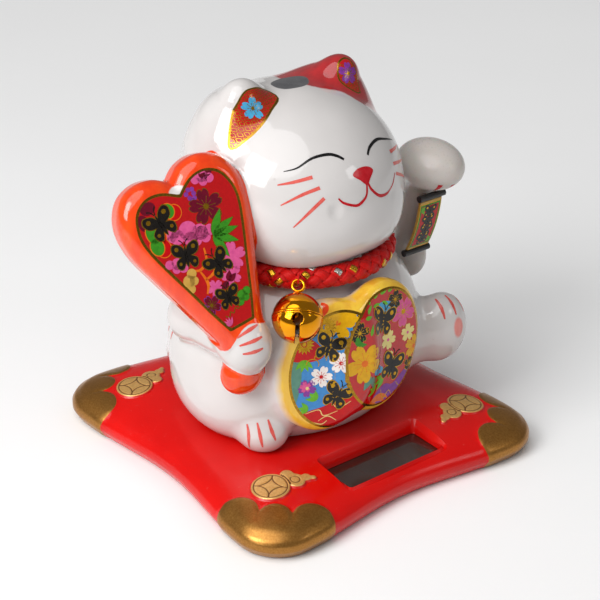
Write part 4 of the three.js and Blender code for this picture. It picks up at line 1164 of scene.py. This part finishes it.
for path in (
    [(-37.6, -24.8, 63.0), (-40.6, -24.4, 61.8), (-44.6, -23.4, 59.8)],
    [(-37.6, -27.4, 60.0), (-40.6, -26.6, 59.0), (-44.6, -24.6, 57.6)],
    [(-38.2, -28.4, 56.4), (-41, -27.4, 55.8), (-44.2, -25.8, 55.2)],
    [(-37.0, -19.2, 24.5), (-36.8, -20.0, 20.4), (-35.9, -19.5, 15.6)],
    [(-34.9, -21.6, 25.4), (-34.9, -23.4, 21.0), (-34.1, -23.7, 17.0)],
    [(-32.0, -23.4, 26.4), (-31.6, -25.2, 22.6), (-30.7, -25.8, 19.4)],
    [(38.2, -22.8, 47.2), (37.6, -26.6, 45.8), (37.2, -29.4, 42.6)],
    [(41.8, -23.6, 47.6), (42.0, -27.2, 46.0), (42.0, -29.8, 43.0)],
    [(45.6, -22.6, 46.8), (46.6, -25.8, 45.2), (47.0, -28.2, 42.0)],
):
    gp.stroke("brush_rose", path, [0.5, 1.25, 0.45])
for path in ([(-40.5, 13.5, 45.0), (-41.5, 15.0, 41.0)], [(-38.5, 18.0, 45.5), (-39.5, 19.5, 41.5)],
    [(-35.0, 21.5, 45.0), (-36.0, 23.0, 41.0)]):
    gp.stroke("brush_rose", path, [1.4, 0.5])
NOSE = Plane((0.2, -30, 103.8), 0, 18, 0)
gp.level = 4
gp.shape("brush_red", NOSE,
    spline([(-4.0, 0.9), (-1.8, 2.4), (1.8, 2.4), (4.0, 0.9), (2.4, -1.0), (0.3, -2.9), (-1.9, -1.0)], 6,
        True), fine=0.7)
gp.make()

# ------------------------------------------------------------------ the base
BASE_HALF, SAG, CORNER_R, RIM_TOP, BASE_TOP = 59.0, 4.5, 15.0, 5.0, 13.0
LOBES = [(10.5, 10.5, 5.3), (20, 3, 6.8), (3, 20, 6.8), (2, 2, 12.6)]
WINDOW = (0.0, -42.75, 19.5, 7.0)  # middle and half sizes
OPENING_R, OPENING_Y = 17.5, 4  # the hole in the base under the cat
GOLD_RISE = 0.6  # how far the gold corners stand up
DOME_D = [0, 0.35, 0.9, 3, 8, 15, 25]
DOME_S = [0, 0.13, 0.25, 0.48, 0.7, 0.87, 1.0]


def outline_gap(x, y, d):
    """How far a point lies outside the outline that is inset by d."""
    a, b = np.maximum(np.abs(x), np.abs(y)), np.minimum(np.abs(x), np.abs(y))
    half = BASE_HALF - d
    r = np.maximum(CORNER_R - 0.6 * d, 3)
    straight = half - r
    sag = SAG * np.maximum(0, 1 - d / 34)
    side = a - (half - sag * np.cos(math.pi * np.minimum(b, straight) / (2 * straight)) ** 2)
    return np.where((b <= straight) | (a <= straight), side, np.hypot(a - straight, b - straight) - r)


def inset(x, y):
    low, high = np.full(np.shape(x), -3.0), np.full(np.shape(x), 56.0)
    for _ in range(26):
        mid = (low + high) / 2
        out = outline_gap(x, y, mid) > 0
        high, low = np.where(out, mid, high), np.where(out, low, mid)
    return (low + high) / 2


dome_line = spline(np.stack([DOME_D, DOME_S], 1), 12)


def dome_height(x, y):
    return RIM_TOP + (BASE_TOP - RIM_TOP) * np.interp(inset(x, y), dome_line[:, 0], dome_line[:, 1])


def corner_field(x, y):
    """Below zero on the gold corners: a large lobe and a wing along each side."""
    a, b = BASE_HALF - np.abs(x), BASE_HALF - np.abs(y)
    d = None
    for cx, cy, r in LOBES:
        one = np.hypot(a - cx, b - cy) - r
        d = one if d is None else smin(d, one, 0.6)
    return d


def cushion(d, per_side=70, per_corner=26):
    half = BASE_HALF - d
    r = max(CORNER_R - 0.6 * d, 3)
    straight = half - r
    sag = SAG * max(0, 1 - d / 34)
    x = np.linspace(-straight, straight, per_side, endpoint=False)
    side = np.stack([x, -(half - sag * np.cos(math.pi * x / (2 * straight)) ** 2)], 1)
    t = np.linspace(-90, 0, per_corner, endpoint=False) * DEG
    side = np.concatenate([side, np.stack([straight + r * np.cos(t), -straight + r * np.sin(t)], 1)])
    out = []
    for k in range(4):
        c, s = round(math.cos(k * math.pi / 2)), round(math.sin(k * math.pi / 2))
        out.append(side @ np.array([[c, s], [-s, c]]))
    return np.concatenate(out)


def rounded_rectangle(cx, cy, hx, hy, r, n=5):
    out = []
    for sx, sy, start in ((1, 1, 0), (-1, 1, 90), (-1, -1, 180), (1, -1, 270)):
        for k in range(n + 1):
            t = (start + 90 * k / n) * DEG
            out.append((cx + sx * (hx - r) + r * math.cos(t), cy + sy * (hy - r) + r * math.sin(t)))
    return np.array(out)


def dense(loop, gap):
    out = []
    for a, b in zip(loop, np.roll(loop, -1, 0)):
        n = max(1, int(np.linalg.norm(b - a) / gap))
        out += [a + (b - a) * k / n for k in range(n)]
    return np.array(out)


def build_base():
    mouth = dense(rounded_rectangle(WINDOW[0], WINDOW[1], WINDOW[2] + 0.9, WINDOW[3] + 0.9, 1.3), 0.9)
    lip = dense(rounded_rectangle(WINDOW[0], WINDOW[1], WINDOW[2] + 1.7, WINDOW[3] + 1.7, 1.9), 0.9)
    t = np.arange(96) * 2 * math.pi / 96
    hole = np.stack([OPENING_R * np.cos(t), OPENING_Y + OPENING_R * np.sin(t)], 1)
    rim = cushion(0.0)
    loops = [rim, mouth, lip, hole]
    rings = [cushion(d) for d in (0.15, 0.35, 0.6, 0.9, 1.3, 1.8, 2.5)]
    g = np.arange(-58, 58.01, 1.25)
    gx, gy = [v.ravel() for v in np.meshgrid(g, g)]
    keep = (inset(gx, gy) > 3.0) & (np.hypot(gx, gy - OPENING_Y) > OPENING_R + 0.7)
    keep &= ~((np.abs(gx - WINDOW[0]) < WINDOW[2] + 2.3) & (np.abs(gy - WINDOW[1]) < WINDOW[3] + 2.3))
    fx, fy = [v.ravel() for v in np.meshgrid(np.arange(-58.5, 58.6, 0.6), np.arange(-58.5, 58.6, 0.6))]
    near = (np.abs(corner_field(fx, fy)) < 0.9) & (inset(fx, fy) > 2.8)
    keep &= np.abs(corner_field(gx, gy)) > 1.2
    points = np.concatenate([*loops, *rings, np.stack([gx[keep], gy[keep]], 1),
        np.stack([fx[near], fy[near]], 1)])
    edges, at = [], 0
    for loop in loops:
        n = len(loop)
        edges += [(at + i, at + (i + 1) % n) for i in range(n)]
        at += n
    made = delaunay_2d_cdt([Vector(p) for p in points], edges, [], 0, 1e-5)
    flat = np.array([v[:] for v in made[0]])
    tri = np.array([f[:] for f in made[2]], int)
    middle = flat[tri].mean(1)
    keep = (outline_gap(middle[:, 0], middle[:, 1], np.zeros(len(middle))) < 1e-4) & (np.hypot(middle[:, 0],
        middle[:, 1] - OPENING_Y) > OPENING_R - 0.02)
    keep &= polygon_distance(mouth, middle) > -1e-4
    tri = tri[keep]
    relief = GOLD_RISE * np.clip(0.5 - corner_field(flat[:, 0], flat[:, 1]) / 0.9, 0, 1)
    relief = np.where(corner_field(flat[:, 0], flat[:, 1]) > 0.45, 0, relief)
    z = dome_height(flat[:, 0], flat[:, 1]) + relief
    well = polygon_distance(mouth, flat)
    z = np.where(well < 0.05, z - 0.9, z)
    edge_share = np.clip(1 - inset(flat[:, 0], flat[:, 1]) / 1.5, 0, 1)
    flat3 = np.concatenate([flat + unit_rows(flat) * (relief * edge_share)[:, None], z[:, None]], 1)
    verts, faces = [flat3], [tuple(f) for f in tri]
    count = len(flat3)

    def wall(rings_):
        """A strip through loops with the same number of points."""
        nonlocal count
        n = len(rings_[0])
        for ring in rings_:
            verts.append(ring)
        for k in range(len(rings_) - 1):
            for i in range(n):
                j = (i + 1) % n
                faces.append((count + k * n + i, count + k * n + j, count + (k + 1) * n + j,
                    count + (k + 1) * n + i))
        count += n * len(rings_)

    def at_height(loop, height, bulge=True):
        r = GOLD_RISE * np.clip(0.5 - corner_field(loop[:, 0], loop[:, 1]) / 0.9, 0, 1) if bulge else 0
        out = loop + unit_rows(loop) * np.reshape(r, (-1, 1)) if bulge else loop
        return np.column_stack(
            [out, np.full(len(loop), float(height)) + (np.minimum(r, GOLD_RISE) if bulge
                and height >= RIM_TOP else 0)])

    wall([at_height(cushion(d), z_) for d, z_ in ((0, RIM_TOP), (0, 4.4), (0, 3.8), (0.25, 3.3), (0.75, 2.4),
        (1.25, 1.6), (1.5, 1.15), (1.6, 1.0), (2.4, 1.0), (3.6, 1.05), (3.6, 4.0))])
    centre = np.array(WINDOW[:2])
    top = np.column_stack([mouth, dome_height(mouth[:, 0], mouth[:, 1]) - 0.9])
    inner = [np.column_stack(
        [centre + (mouth - centre) * [(WINDOW[2] + w) / (WINDOW[2] + 0.9),
            (WINDOW[3] + w) / (WINDOW[3] + 0.9)], np.full(len(mouth), h)]) for w,
                h in ((0.15, 10.0), (0.02, 9.0), (0.0, 8.35))]
    wall([top, *inner][::-1])
    wall([np.column_stack([hole, np.full(96, 10.5)]),
        np.column_stack([hole, dome_height(hole[:, 0], hole[:, 1])])])
    obj = mesh_object("base_housing", np.concatenate(verts), faces, LOOKS["red"])
    bm = bmesh.new()
    bm.from_mesh(obj.data)
    bmesh.ops.remove_doubles(bm, verts=bm.verts, dist=0.00001)
    bmesh.ops.recalc_face_normals(bm, faces=bm.faces)
    bm.to_mesh(obj.data)
    bm.free()
    crease(obj, 40)
    p = points_of(obj)
    inner_side = inset(p[:, 0], p[:, 1]) > 3.3
    store(obj, "corner", np.clip(np.where(inner_side & (p[:, 2] < 4.5), 5, corner_field(p[:, 0], p[:, 1])),
        -8, 8))
    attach(obj, "cat")
    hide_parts("base_top_shell")
    return obj


build_base()


def coin_paint():
    """Gold foil on top of the moulded relief and red plastic down its sides, with painted shade turning the
    gold dark brown in the engraved grooves.
    """
    p = Paint("coin_relief", IOR=1.48)
    grain = p.noise(1500, 3.0)
    foil = p.under(p.attr("side"), -0.12, 0.05)
    gold = p.mix(p.span(grain, 0.3, 0.7), tone("E6B973"), tone("D2A05A"))
    # painted shade: the gold turns dark brown where the groove mask is high, in the sunken lines of the
    # relief
    gold = p.mix(p.span(p.attr("groove"), 0.15, 0.8), gold, tone("6A3A1A"))
    p.set("Base Color", p.mix(foil, tone("C60B07"), gold))
    p.set("Metallic", p.calc("MULTIPLY", foil, 0.5))
    p.set("Roughness", p.span(grain, 0.3, 0.7, 0.28, 0.38))
    p.bump(grain, 0.00003)
    return p.material


LOOKS["coin"] = coin_paint()


def build_relief(name, sx, sy):
    """A coin with a ring and four arcs, and a curled cloud beside it along X towards the middle."""
    at = np.array([sx * (BASE_HALF - 17.4), sy * (BASE_HALF - 21.6)])
    g = 0.22
    u, v = np.meshgrid(np.arange(-16.6, 7.6, g), np.arange(-8, 8, g), indexing="ij")
    x, y = u.ravel(), v.ravel()
    coin_d = np.hypot(x, y) - 6.2
    puff = smin(np.hypot(x + 8.1, y - 2.1) - 3.2, np.hypot(x + 7.6, y + 1.4) - 2.3, 0.8)
    tail = smin(np.hypot(x + 11.9, y - 2.7) - 1.7, np.hypot(x + 13.9, y - 4.0) - 0.9, 1.2)
    d = np.minimum(coin_d, smin(puff, tail, 0.7))
    groove = np.zeros(len(x))
    ring = np.abs(np.hypot(x, y) - 5.3)
    groove = np.maximum(groove, np.clip(1 - ring / 0.32, 0, 1))
    for cx, cy in ((7.0, 0), (-7.0, 0), (0, 7.0), (0, -7.0)):
        arc = np.abs(np.hypot(x - cx, y - cy) - 5.0)
        groove = np.maximum(groove, np.clip(1 - arc / 0.36, 0, 1) * (np.hypot(x, y) < 5.3))
    curl = np.abs(np.hypot(x + 8.2, y - 1.9) - 1.5)
    groove = np.maximum(groove, np.clip(1 - curl / 0.32, 0, 1) * (coin_d > 0.3) * (y > 0.4))
    groove = np.where(np.abs(coin_d) < 0.28, np.where(puff < 0, 1, groove), groove)
    world = np.column_stack([at[0] + sx * x, at[1] + sy * y])
    ground = dome_height(world[:, 0], world[:, 1])
    rise = 0.8 * np.clip(0.5 - d / 0.7, 0, 1)
    top = ground + rise
    z = np.where(d < 0.45, top - 0.28 * groove * (d < -0.4), ground - 0.15)
    keep = (d < 0.62).reshape(u.shape)
    n = u.shape
    index = np.arange(n[0] * n[1]).reshape(n)
    quads = np.stack([index[:-1, :-1], index[1:, :-1], index[1:, 1:], index[:-1, 1:]], -1)
    show = keep[:-1, :-1] & keep[1:, :-1] & keep[1:, 1:] & keep[:-1, 1:]
    quads = quads[show]
    if sx * sy < 0:
        quads = quads[:, ::-1]
    used = np.unique(quads)
    where = np.full(n[0] * n[1], -1)
    where[used] = np.arange(len(used))
    obj = mesh_object(name, np.column_stack([world, z])[used], where[quads], LOOKS["coin"])
    store(obj, "side", d[used])
    # the groove mask also sets where the material paints shade into the grooves
    store(obj, "groove", groove[used] * (d[used] < -0.3))
    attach(obj, "cat")


for where_, sx, sy in (("front_right", -1, -1), ("front_left", 1, -1), ("back_left", 1, 1),
    ("back_right", -1, 1)):
    build_relief("coin_" + where_, sx, sy)

# ------------------------------------------------------------------ collar
def sweep(path, normal, width, thick, sides=8, closed=True):
    """A flattened tube along a path: points, faces, and how far along and across each point is."""
    path, normal = np.asarray(path, float), unit_rows(np.asarray(normal, float))
    tangent = unit_rows(np.roll(path, -1, 0) - np.roll(path, 1, 0)) if closed else unit_rows(
        np.gradient(path, axis=0))
    side = unit_rows(np.cross(tangent, normal))
    normal = unit_rows(np.cross(side, tangent))
    t = np.arange(sides) * 2 * math.pi / sides
    n = len(path)
    verts = (path[:, None] + side[:, None] * (width / 2 * np.cos(t))[None, :, None] + normal[:,
        None] * (thick / 2 * np.sin(t))[None, :, None]).reshape(-1, 3)
    faces = []
    for i in range(n if closed else n - 1):
        for j in range(sides):
            a, b = i * sides, ((i + 1) % n) * sides
            faces.append((a + j, a + (j + 1) % sides, b + (j + 1) % sides, b + j))
    if not closed:
        faces += [tuple(range(sides))[::-1], tuple((n - 1) * sides + j for j in range(sides))]
    step = np.linalg.norm(np.roll(path, -1, 0) - path, axis=1)
    along = np.repeat(np.cumsum(step), sides)
    across = np.tile(np.cos(t) * width / 2, n)
    return verts, faces, along, across


def join_parts(name, parts, look, body):
    verts = np.concatenate([p[0] for p in parts])
    faces, at = [], 0
    for p in parts:
        faces += [tuple(i + at for i in f) for f in p[1]]
        at += len(p[0])
    obj = mesh_object(name, verts, faces, look)
    store(obj, "along", np.concatenate([p[2] for p in parts]))
    store(obj, "across", np.concatenate([p[3] for p in parts]))
    store(obj, "strand", np.concatenate([np.full(len(p[0]), 7.3 * k) for k, p in enumerate(parts)]))
    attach(obj, body)
    return obj


def build_collar():
    strands, turns, samples = 4, 9, 900
    phi = np.arange(samples) * 2 * math.pi / samples
    radial = np.stack([np.sin(phi), -np.cos(phi), np.zeros(samples)], 1)
    up = np.array([0, 0, 1.0])
    parts, flecks = [], {"tinsel_gold": [], "tinsel_silver": []}
    for way in (1, -1):
        for k in range(strands):
            theta = way * turns * phi + k * 2 * math.pi / strands
            r = 2.62 + way * 0.34 * np.cos(strands * turns * phi)
            out = radial * np.cos(theta)[:, None] + up * np.sin(theta)[:, None]
            path = np.array(COLLAR, float) + radial * RING + out * r[:, None]
            parts.append(sweep(path, out, 3.1, 1.25))
            on_top = way * np.cos(strands * turns * phi)
            peaks = [i for i in range(samples) if on_top[i] > 0.9 and on_top[i] >= on_top[i - 1]
                and on_top[i] > on_top[(i + 1) % samples]]
            for i in peaks:
                draw = rng.random()
                if draw > 0.30:
                    continue
                rows = [(i + j) % samples for j in range(-4, 5)]
                lift = out[rows] * 0.62
                verts, faces, along, across = sweep(path[rows] + lift, out[rows], 1.9, 0.2, 6, False)
                flecks["tinsel_gold" if draw < 0.17 else "tinsel_silver"].append((verts, faces, along,
                    across))
    cord = join_parts("collar_braid", parts, LOOKS["yarn"], "cat")
    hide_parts("collar_cord")
    for name, found in flecks.items():
        join_parts("collar_" + name, found, LOOKS[name], "cat")


build_collar()


def build_knot():
    centre = np.array([0, 34.8, 70.0])
    t = np.arange(240) * 2 * math.pi / 240
    line = np.stack([np.sin(t) + 2 * np.sin(2 * t), -np.sin(3 * t) * 0.9, np.cos(t) - 2 * np.cos(2 * t)],
        1) * [0.92, 0.8, 0.92]
    tangent = unit_rows(np.roll(line, -1, 0) - np.roll(line, 1, 0))
    a = unit_rows(np.cross(tangent, unit_rows(line + [0, 0, 0.01])))
    b = np.cross(tangent, a)
    parts = []
    for k in range(6):
        w = 22 * t + k * math.pi / 3
        out = a * np.cos(w)[:, None] + b * np.sin(w)[:, None]
        parts.append(sweep(centre + line + out * 1.0, out, 1.15, 0.85, 6))
    for side in (-1, 1):
        tail = spline([(side * 1.2, 1.2, -2.6), (side * 2.2, 2.2, -5.0), (side * 2.8, 2.0, -8.0),
            (side * 3.6, 1.4, -10.2)], 8)
        for k in range(7):
            w = np.linspace(0, 7, len(tail)) + k * 0.9
            spread = np.linspace(0.7, 1.5, len(tail))
            off = np.stack([np.cos(w), np.sin(w), 0 * w], 1) * spread[:, None] * (0.7 if k else 0)
            parts.append(sweep(centre + tail + off, np.tile([0.0, 1, 0.1], (len(tail), 1)), 0.75, 0.7, 6,
                False))
    knot = join_parts("collar_knot_tied", parts, LOOKS["yarn"], "cat")
    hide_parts("collar_knot")


build_knot()

# ------------------------------------------------------------------ bell
BESIDE = unit([math.cos(-39 * DEG), math.sin(-39 * DEG), 0])
AXIS = unit(np.array([0, 0, math.cos(46 * DEG)]) - np.cross(BESIDE, [0, 0, 1.0]) * math.sin(46 * DEG))
BELL = np.array([-21.3, -23.3, 70.4]) - 10.4 * AXIS
BELL_R = 7.8


def bell_shell(p):
    q = p - BELL
    r, h = np.sqrt((q**2).sum(1)), q @ AXIS
    shell = np.maximum(r - BELL_R, BELL_R - 0.75 - r)
    lip = np.maximum(np.maximum(r - BELL_R - 0.12, BELL_R - 0.7 - r), np.abs(np.abs(h) - 0.30) - 0.26)
    return smin(shell, lip, 0.25)


def bell_low(p):
    q = p - BELL
    across, h = q @ BESIDE, q @ AXIS
    slit = np.maximum(np.abs(across) - 0.62, h + 2.2)
    hole = np.hypot(across, h + 2.3) - 1.7
    d = smax(bell_shell(p), -smin(slit, hole, 0.3), 0.25)
    return np.maximum(d, h + 0.06)


def bell_high(p):
    return np.maximum(bell_shell(p), 0.06 - (p - BELL) @ AXIS)


reach = BELL_R + 1.2
for name, field in (("bell_top", bell_high), ("bell_bottom", bell_low)):
    shell = surface(name, field, BELL - reach, BELL + reach, 0.26, LOOKS["gold"])
    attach(shell, "bell")
    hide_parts("bell_upper_shell" if name == "bell_top" else "bell_lower_shell")


def hoop(centre, axis, r, wire, n=48, sides=10):
    axis = unit(axis)
    a = unit(np.cross(axis, [0.3, 0.2, 1.0]))
    b = np.cross(axis, a)
    t = np.arange(n) * 2 * math.pi / n
    out = a * np.cos(t)[:, None] + b * np.sin(t)[:, None]
    return sweep(np.asarray(centre) + out * r, out, 2 * wire, 2 * wire, sides)


low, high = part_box("bell_eyelet")
eyelet_at = np.array([(low[i] + high[i]) / 2 / MM for i in range(3)])
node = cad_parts["bell_eyelet"]
eye_points = points_of(node)
eye_axis = np.linalg.svd(eye_points - eye_points.mean(0), full_matrices=False)[2][2]
eyelet = join_parts("bell_ring", [hoop(eyelet_at, eye_axis, 1.8, 0.5, 64, 12)], LOOKS["gold"], "bell")
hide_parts("bell_eyelet")
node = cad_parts["bell_thread"]
thread_points = points_of(node)
thread_axis = np.linalg.svd(thread_points - thread_points.mean(0), full_matrices=False)[2][2]
low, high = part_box("bell_thread")
thread_at = np.array([(low[i] + high[i]) / 2 / MM for i in range(3)])
strands = []
t = np.arange(72) * 2 * math.pi / 72
a = unit(np.cross(thread_axis, [0.3, 0.2, 1.0]))
b = np.cross(thread_axis, a)
for k in range(3):
    w = 14 * t + k * 2 * math.pi / 3
    out = a * np.cos(t)[:, None] + b * np.sin(t)[:, None]
    twist = out * np.cos(w)[:, None] + np.outer(np.sin(w), thread_axis)
    strands.append(sweep(thread_at + out * 1.5 + twist * 0.17, out, 0.36, 0.36, 6))
thread = join_parts("bell_loop_yarn", strands, LOOKS["yarn"], "bell_loop")
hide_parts("bell_thread")

# ------------------------------------------------------------------ the arm
PAW = np.array([47, -7, 88.0])


def arm_field(p):
    hub = ball(p, (49.2, AXLE_Y, AXLE_Z), (5.2, 8, 8))
    upper = capsule(p, (49.2, AXLE_Y, AXLE_Z), (48.6, -1.5, 80), 5.6, 6.0)
    paw = ball(p, PAW, (10.5, 12.5, 8.2))
    return smin(smin(hub, upper, 3), paw, 4.5)


def arm_skin(p):
    bore = np.maximum(np.hypot(p[:, 1] - AXLE_Y, p[:, 2] - AXLE_Z) - 1.6, p[:, 0] - 50.8)
    return smax(arm_field(p), -bore, 0.2)


def arm_paint():
    p = Paint("arm_plastic", IOR=1.46, Subsurface_Weight=0.25, Subsurface_Scale=0.003, Coat_Weight=0.2,
        Coat_Roughness=0.12)
    n, grain = p.noise(60, 2.0), p.noise(1500, 3.0)
    seam = p.under(p.calc("ABSOLUTE", p.attr("seam")), 0.09, 0.05)
    colour = p.mix(p.span(n, 0.3, 0.7), tone("CBC4BE"), tone("C5BEB7"))
    p.set("Base Color", p.mix(p.calc("MULTIPLY", seam, 0.35), colour, tone("B9AEA4")))
    p.set("Roughness", p.span(grain, 0.3, 0.7, 0.26, 0.33))
    p.bump(p.calc("SUBTRACT", p.calc("MULTIPLY", grain, 0.06), seam), 0.00012, 0.7)
    return p.material


arm = surface("arm_skin", arm_skin, (34, -22, 38), (60, 15, 98), 0.62, arm_paint())
arm_points = points_of(arm)
lean = unit([0, math.cos(11 * DEG), math.sin(11 * DEG)])
store(arm, "seam", (arm_points - [49.2, AXLE_Y, AXLE_Z]) @ lean)
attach(arm, "arm")
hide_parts("arm_front_shell", "arm_back_shell")
arm_faces = np.empty(len(arm.data.loops), np.int32)
arm.data.loops.foreach_get("vertex_index", arm_faces)
arm_prints = Sheets("paw", "arm", "white_plastic",
    BVHTree.FromPolygons(arm_points.tolist(), arm_faces.reshape(-1, 4).tolist()), arm_field)
for x in (-4.6, 0.2, 5.0):
    arm_prints.stroke("brush_red", [PAW + [x, -10.2, -2.6], PAW + [x * 1.03, -9.3, -5.2],
        PAW + [x * 1.05, -7.2, -7.4]], [1.7, 1.3, 0.4], 6)
arm_prints.make()

# the little hanging scroll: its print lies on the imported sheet
sheet_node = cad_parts["scroll_sheet"]
sheet_points = points_of(sheet_node)
sheet_faces = [tuple(f.vertices) for f in sheet_node.data.polygons]
LEAN = 14.5 * DEG
SCROLL = Plane((44.8, -11, 76.9), 0, 0, 0)
SCROLL.out = np.array([0, -math.cos(LEAN), -math.sin(LEAN)])
SCROLL.v = np.array([0, -math.sin(LEAN), math.cos(LEAN)])
SCROLL.u = np.cross(SCROLL.v, SCROLL.out)
sheet_uv = SCROLL.local(sheet_points)
sheet_mid = (sheet_uv.min(0) + sheet_uv.max(0)) / 2
half_w, half_l = np.ptp(sheet_uv, axis=0)[:2] / 2
SCROLL.at = SCROLL.world([sheet_mid])[0]
scroll_prints = Sheets("scroll", "arm", "scroll_print",
    BVHTree.FromPolygons(sheet_points.tolist(), sheet_faces))
for flip in (1, -1):
    face = Plane((0, 0, 0), 0, 0)
    face.at, face.out, face.v, face.u = SCROLL.at, SCROLL.out * flip, SCROLL.v, SCROLL.u * flip
    sp = Motifs(scroll_prints, face, None)
    box = lambda w, l: np.array([(-w, -l), (w, -l), (w, l), (-w, l)])  # noqa: E731
    sp.lay("gold", dense(box(half_w - 0.1, half_l - 0.9), 0.8), 0)
    sp.lay("green", dense(box(half_w - 0.35, half_l - 1.15), 0.8), 1)
    sp.lay("red", dense(box(half_w - 0.95, half_l - 1.75), 0.8), 2)
    for k, y in enumerate(np.linspace(half_l - 4.2, -half_l + 4.2, 4)):
        sp.butterfly((0.0, y), 2.35, 4, (-8, 6, -4, 9)[k], line="black")
    sp.spray((-half_w + 0.9, half_l - 2.2), (-20, -60), 3.0, 1.3, "lime", 3)
    sp.spray((half_w - 0.9, -half_l + 2.2), (160, 120), 3.0, 1.3, "lime", 3)
scroll_prints.make()

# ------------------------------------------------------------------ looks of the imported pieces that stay
FINISH = {
    "cover": ("base_bottom_cover",),
    "cell": ("solar_cell",),
    "glue": ("glue_ring",),
    "print_beige": ("scroll_sheet",),
    "black": ("scroll_upper_roller", "scroll_lower_roller", "pivot_bracket", "pendulum_lever", "coil_bobbin",
        "driver_chip"),
    "steel": ("arm_axle", "axle_clip", "counterweight", "bell_pellet", "bracket_screw_front",
        "bracket_screw_back"),
    "arm": ("shoulder_bush",),
    "magnet": ("drive_magnet",),
    "copper": ("coil_winding", "coil_lead_start", "coil_lead_end"),
    "board": ("circuit_board",),
    "wire_black": ("capacitor", "cell_lead_negative"),
    "wire_red": ("cell_lead_positive",),
}
LOOKS["cover"] = flat_finish("red_cover", "C60D08", "BA0A06", 0.3, 0.0, 900, 0.00005)
look_of = {name: look for look, names in FINISH.items() for name in names}
for name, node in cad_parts.items():
    look = look_of.get(name, "steel" if "screw" in name else None)
    if look and not node.hide_render:
        node.data.materials.clear()
        node.data.materials.append(LOOKS[look])

# ------------------------------------------------------------------ floor and light
def build_stage():
    paint = Paint("floor_paper", Roughness=0.6)
    n = paint.noise(6, 3.0)
    paint.set("Base Color", paint.mix(paint.span(n, 0.3, 0.7), (0.93, 0.93, 0.93, 1), (0.95, 0.95, 0.95, 1)))
    paint.bump(paint.noise(400, 2.0), 0.00003)
    size = 2500
    floor = mesh_object("floor", [(-size, -size, 0), (size, -size, 0), (size, size, 0), (-size, size, 0)],
        [(0, 1, 2, 3)], paint.material, False)
    world = bpy.data.worlds.new("studio")
    bpy.context.scene.world = world
    world.use_nodes = True
    world.node_tree.nodes["Background"].inputs[0].default_value = (1, 1, 1, 1)
    world.node_tree.nodes["Background"].inputs[1].default_value = 0.2
    bpy.context.scene.view_settings.view_transform = "Standard"
    bpy.context.scene.view_settings.look = "None"

    def panel(name, azimuth, elevation, distance, size_x, size_y, power):
        a, e = azimuth * DEG, elevation * DEG
        back = Vector((math.sin(a) * math.cos(e), -math.cos(a) * math.cos(e), math.sin(e)))
        light = bpy.data.lights.new(name, "AREA")
        light.shape, light.size, light.size_y, light.energy = "RECTANGLE", size_x, size_y, power
        obj = link(bpy.data.objects.new(name, light))
        obj.location = Vector((0, 0, 0.06)) + back * distance
        obj.rotation_mode = "QUATERNION"
        obj.rotation_quaternion = (-back).to_track_quat("-Z", "Y")

    panel("key", -86, 33, 0.75, 0.34, 0.42, 3.5)
    panel("fill", 28, 30, 0.9, 0.2, 0.2, 0.35)
    sun = bpy.data.lights.new("soft_sky", "SUN")
    sun.energy, sun.angle = 1.75, 60 * DEG
    obj = link(bpy.data.objects.new("soft_sky", sun))
    obj.rotation_mode = "QUATERNION"
    obj.rotation_quaternion = Vector((0.62, 0.12, -1)).to_track_quat("-Z", "Y")


build_stage()
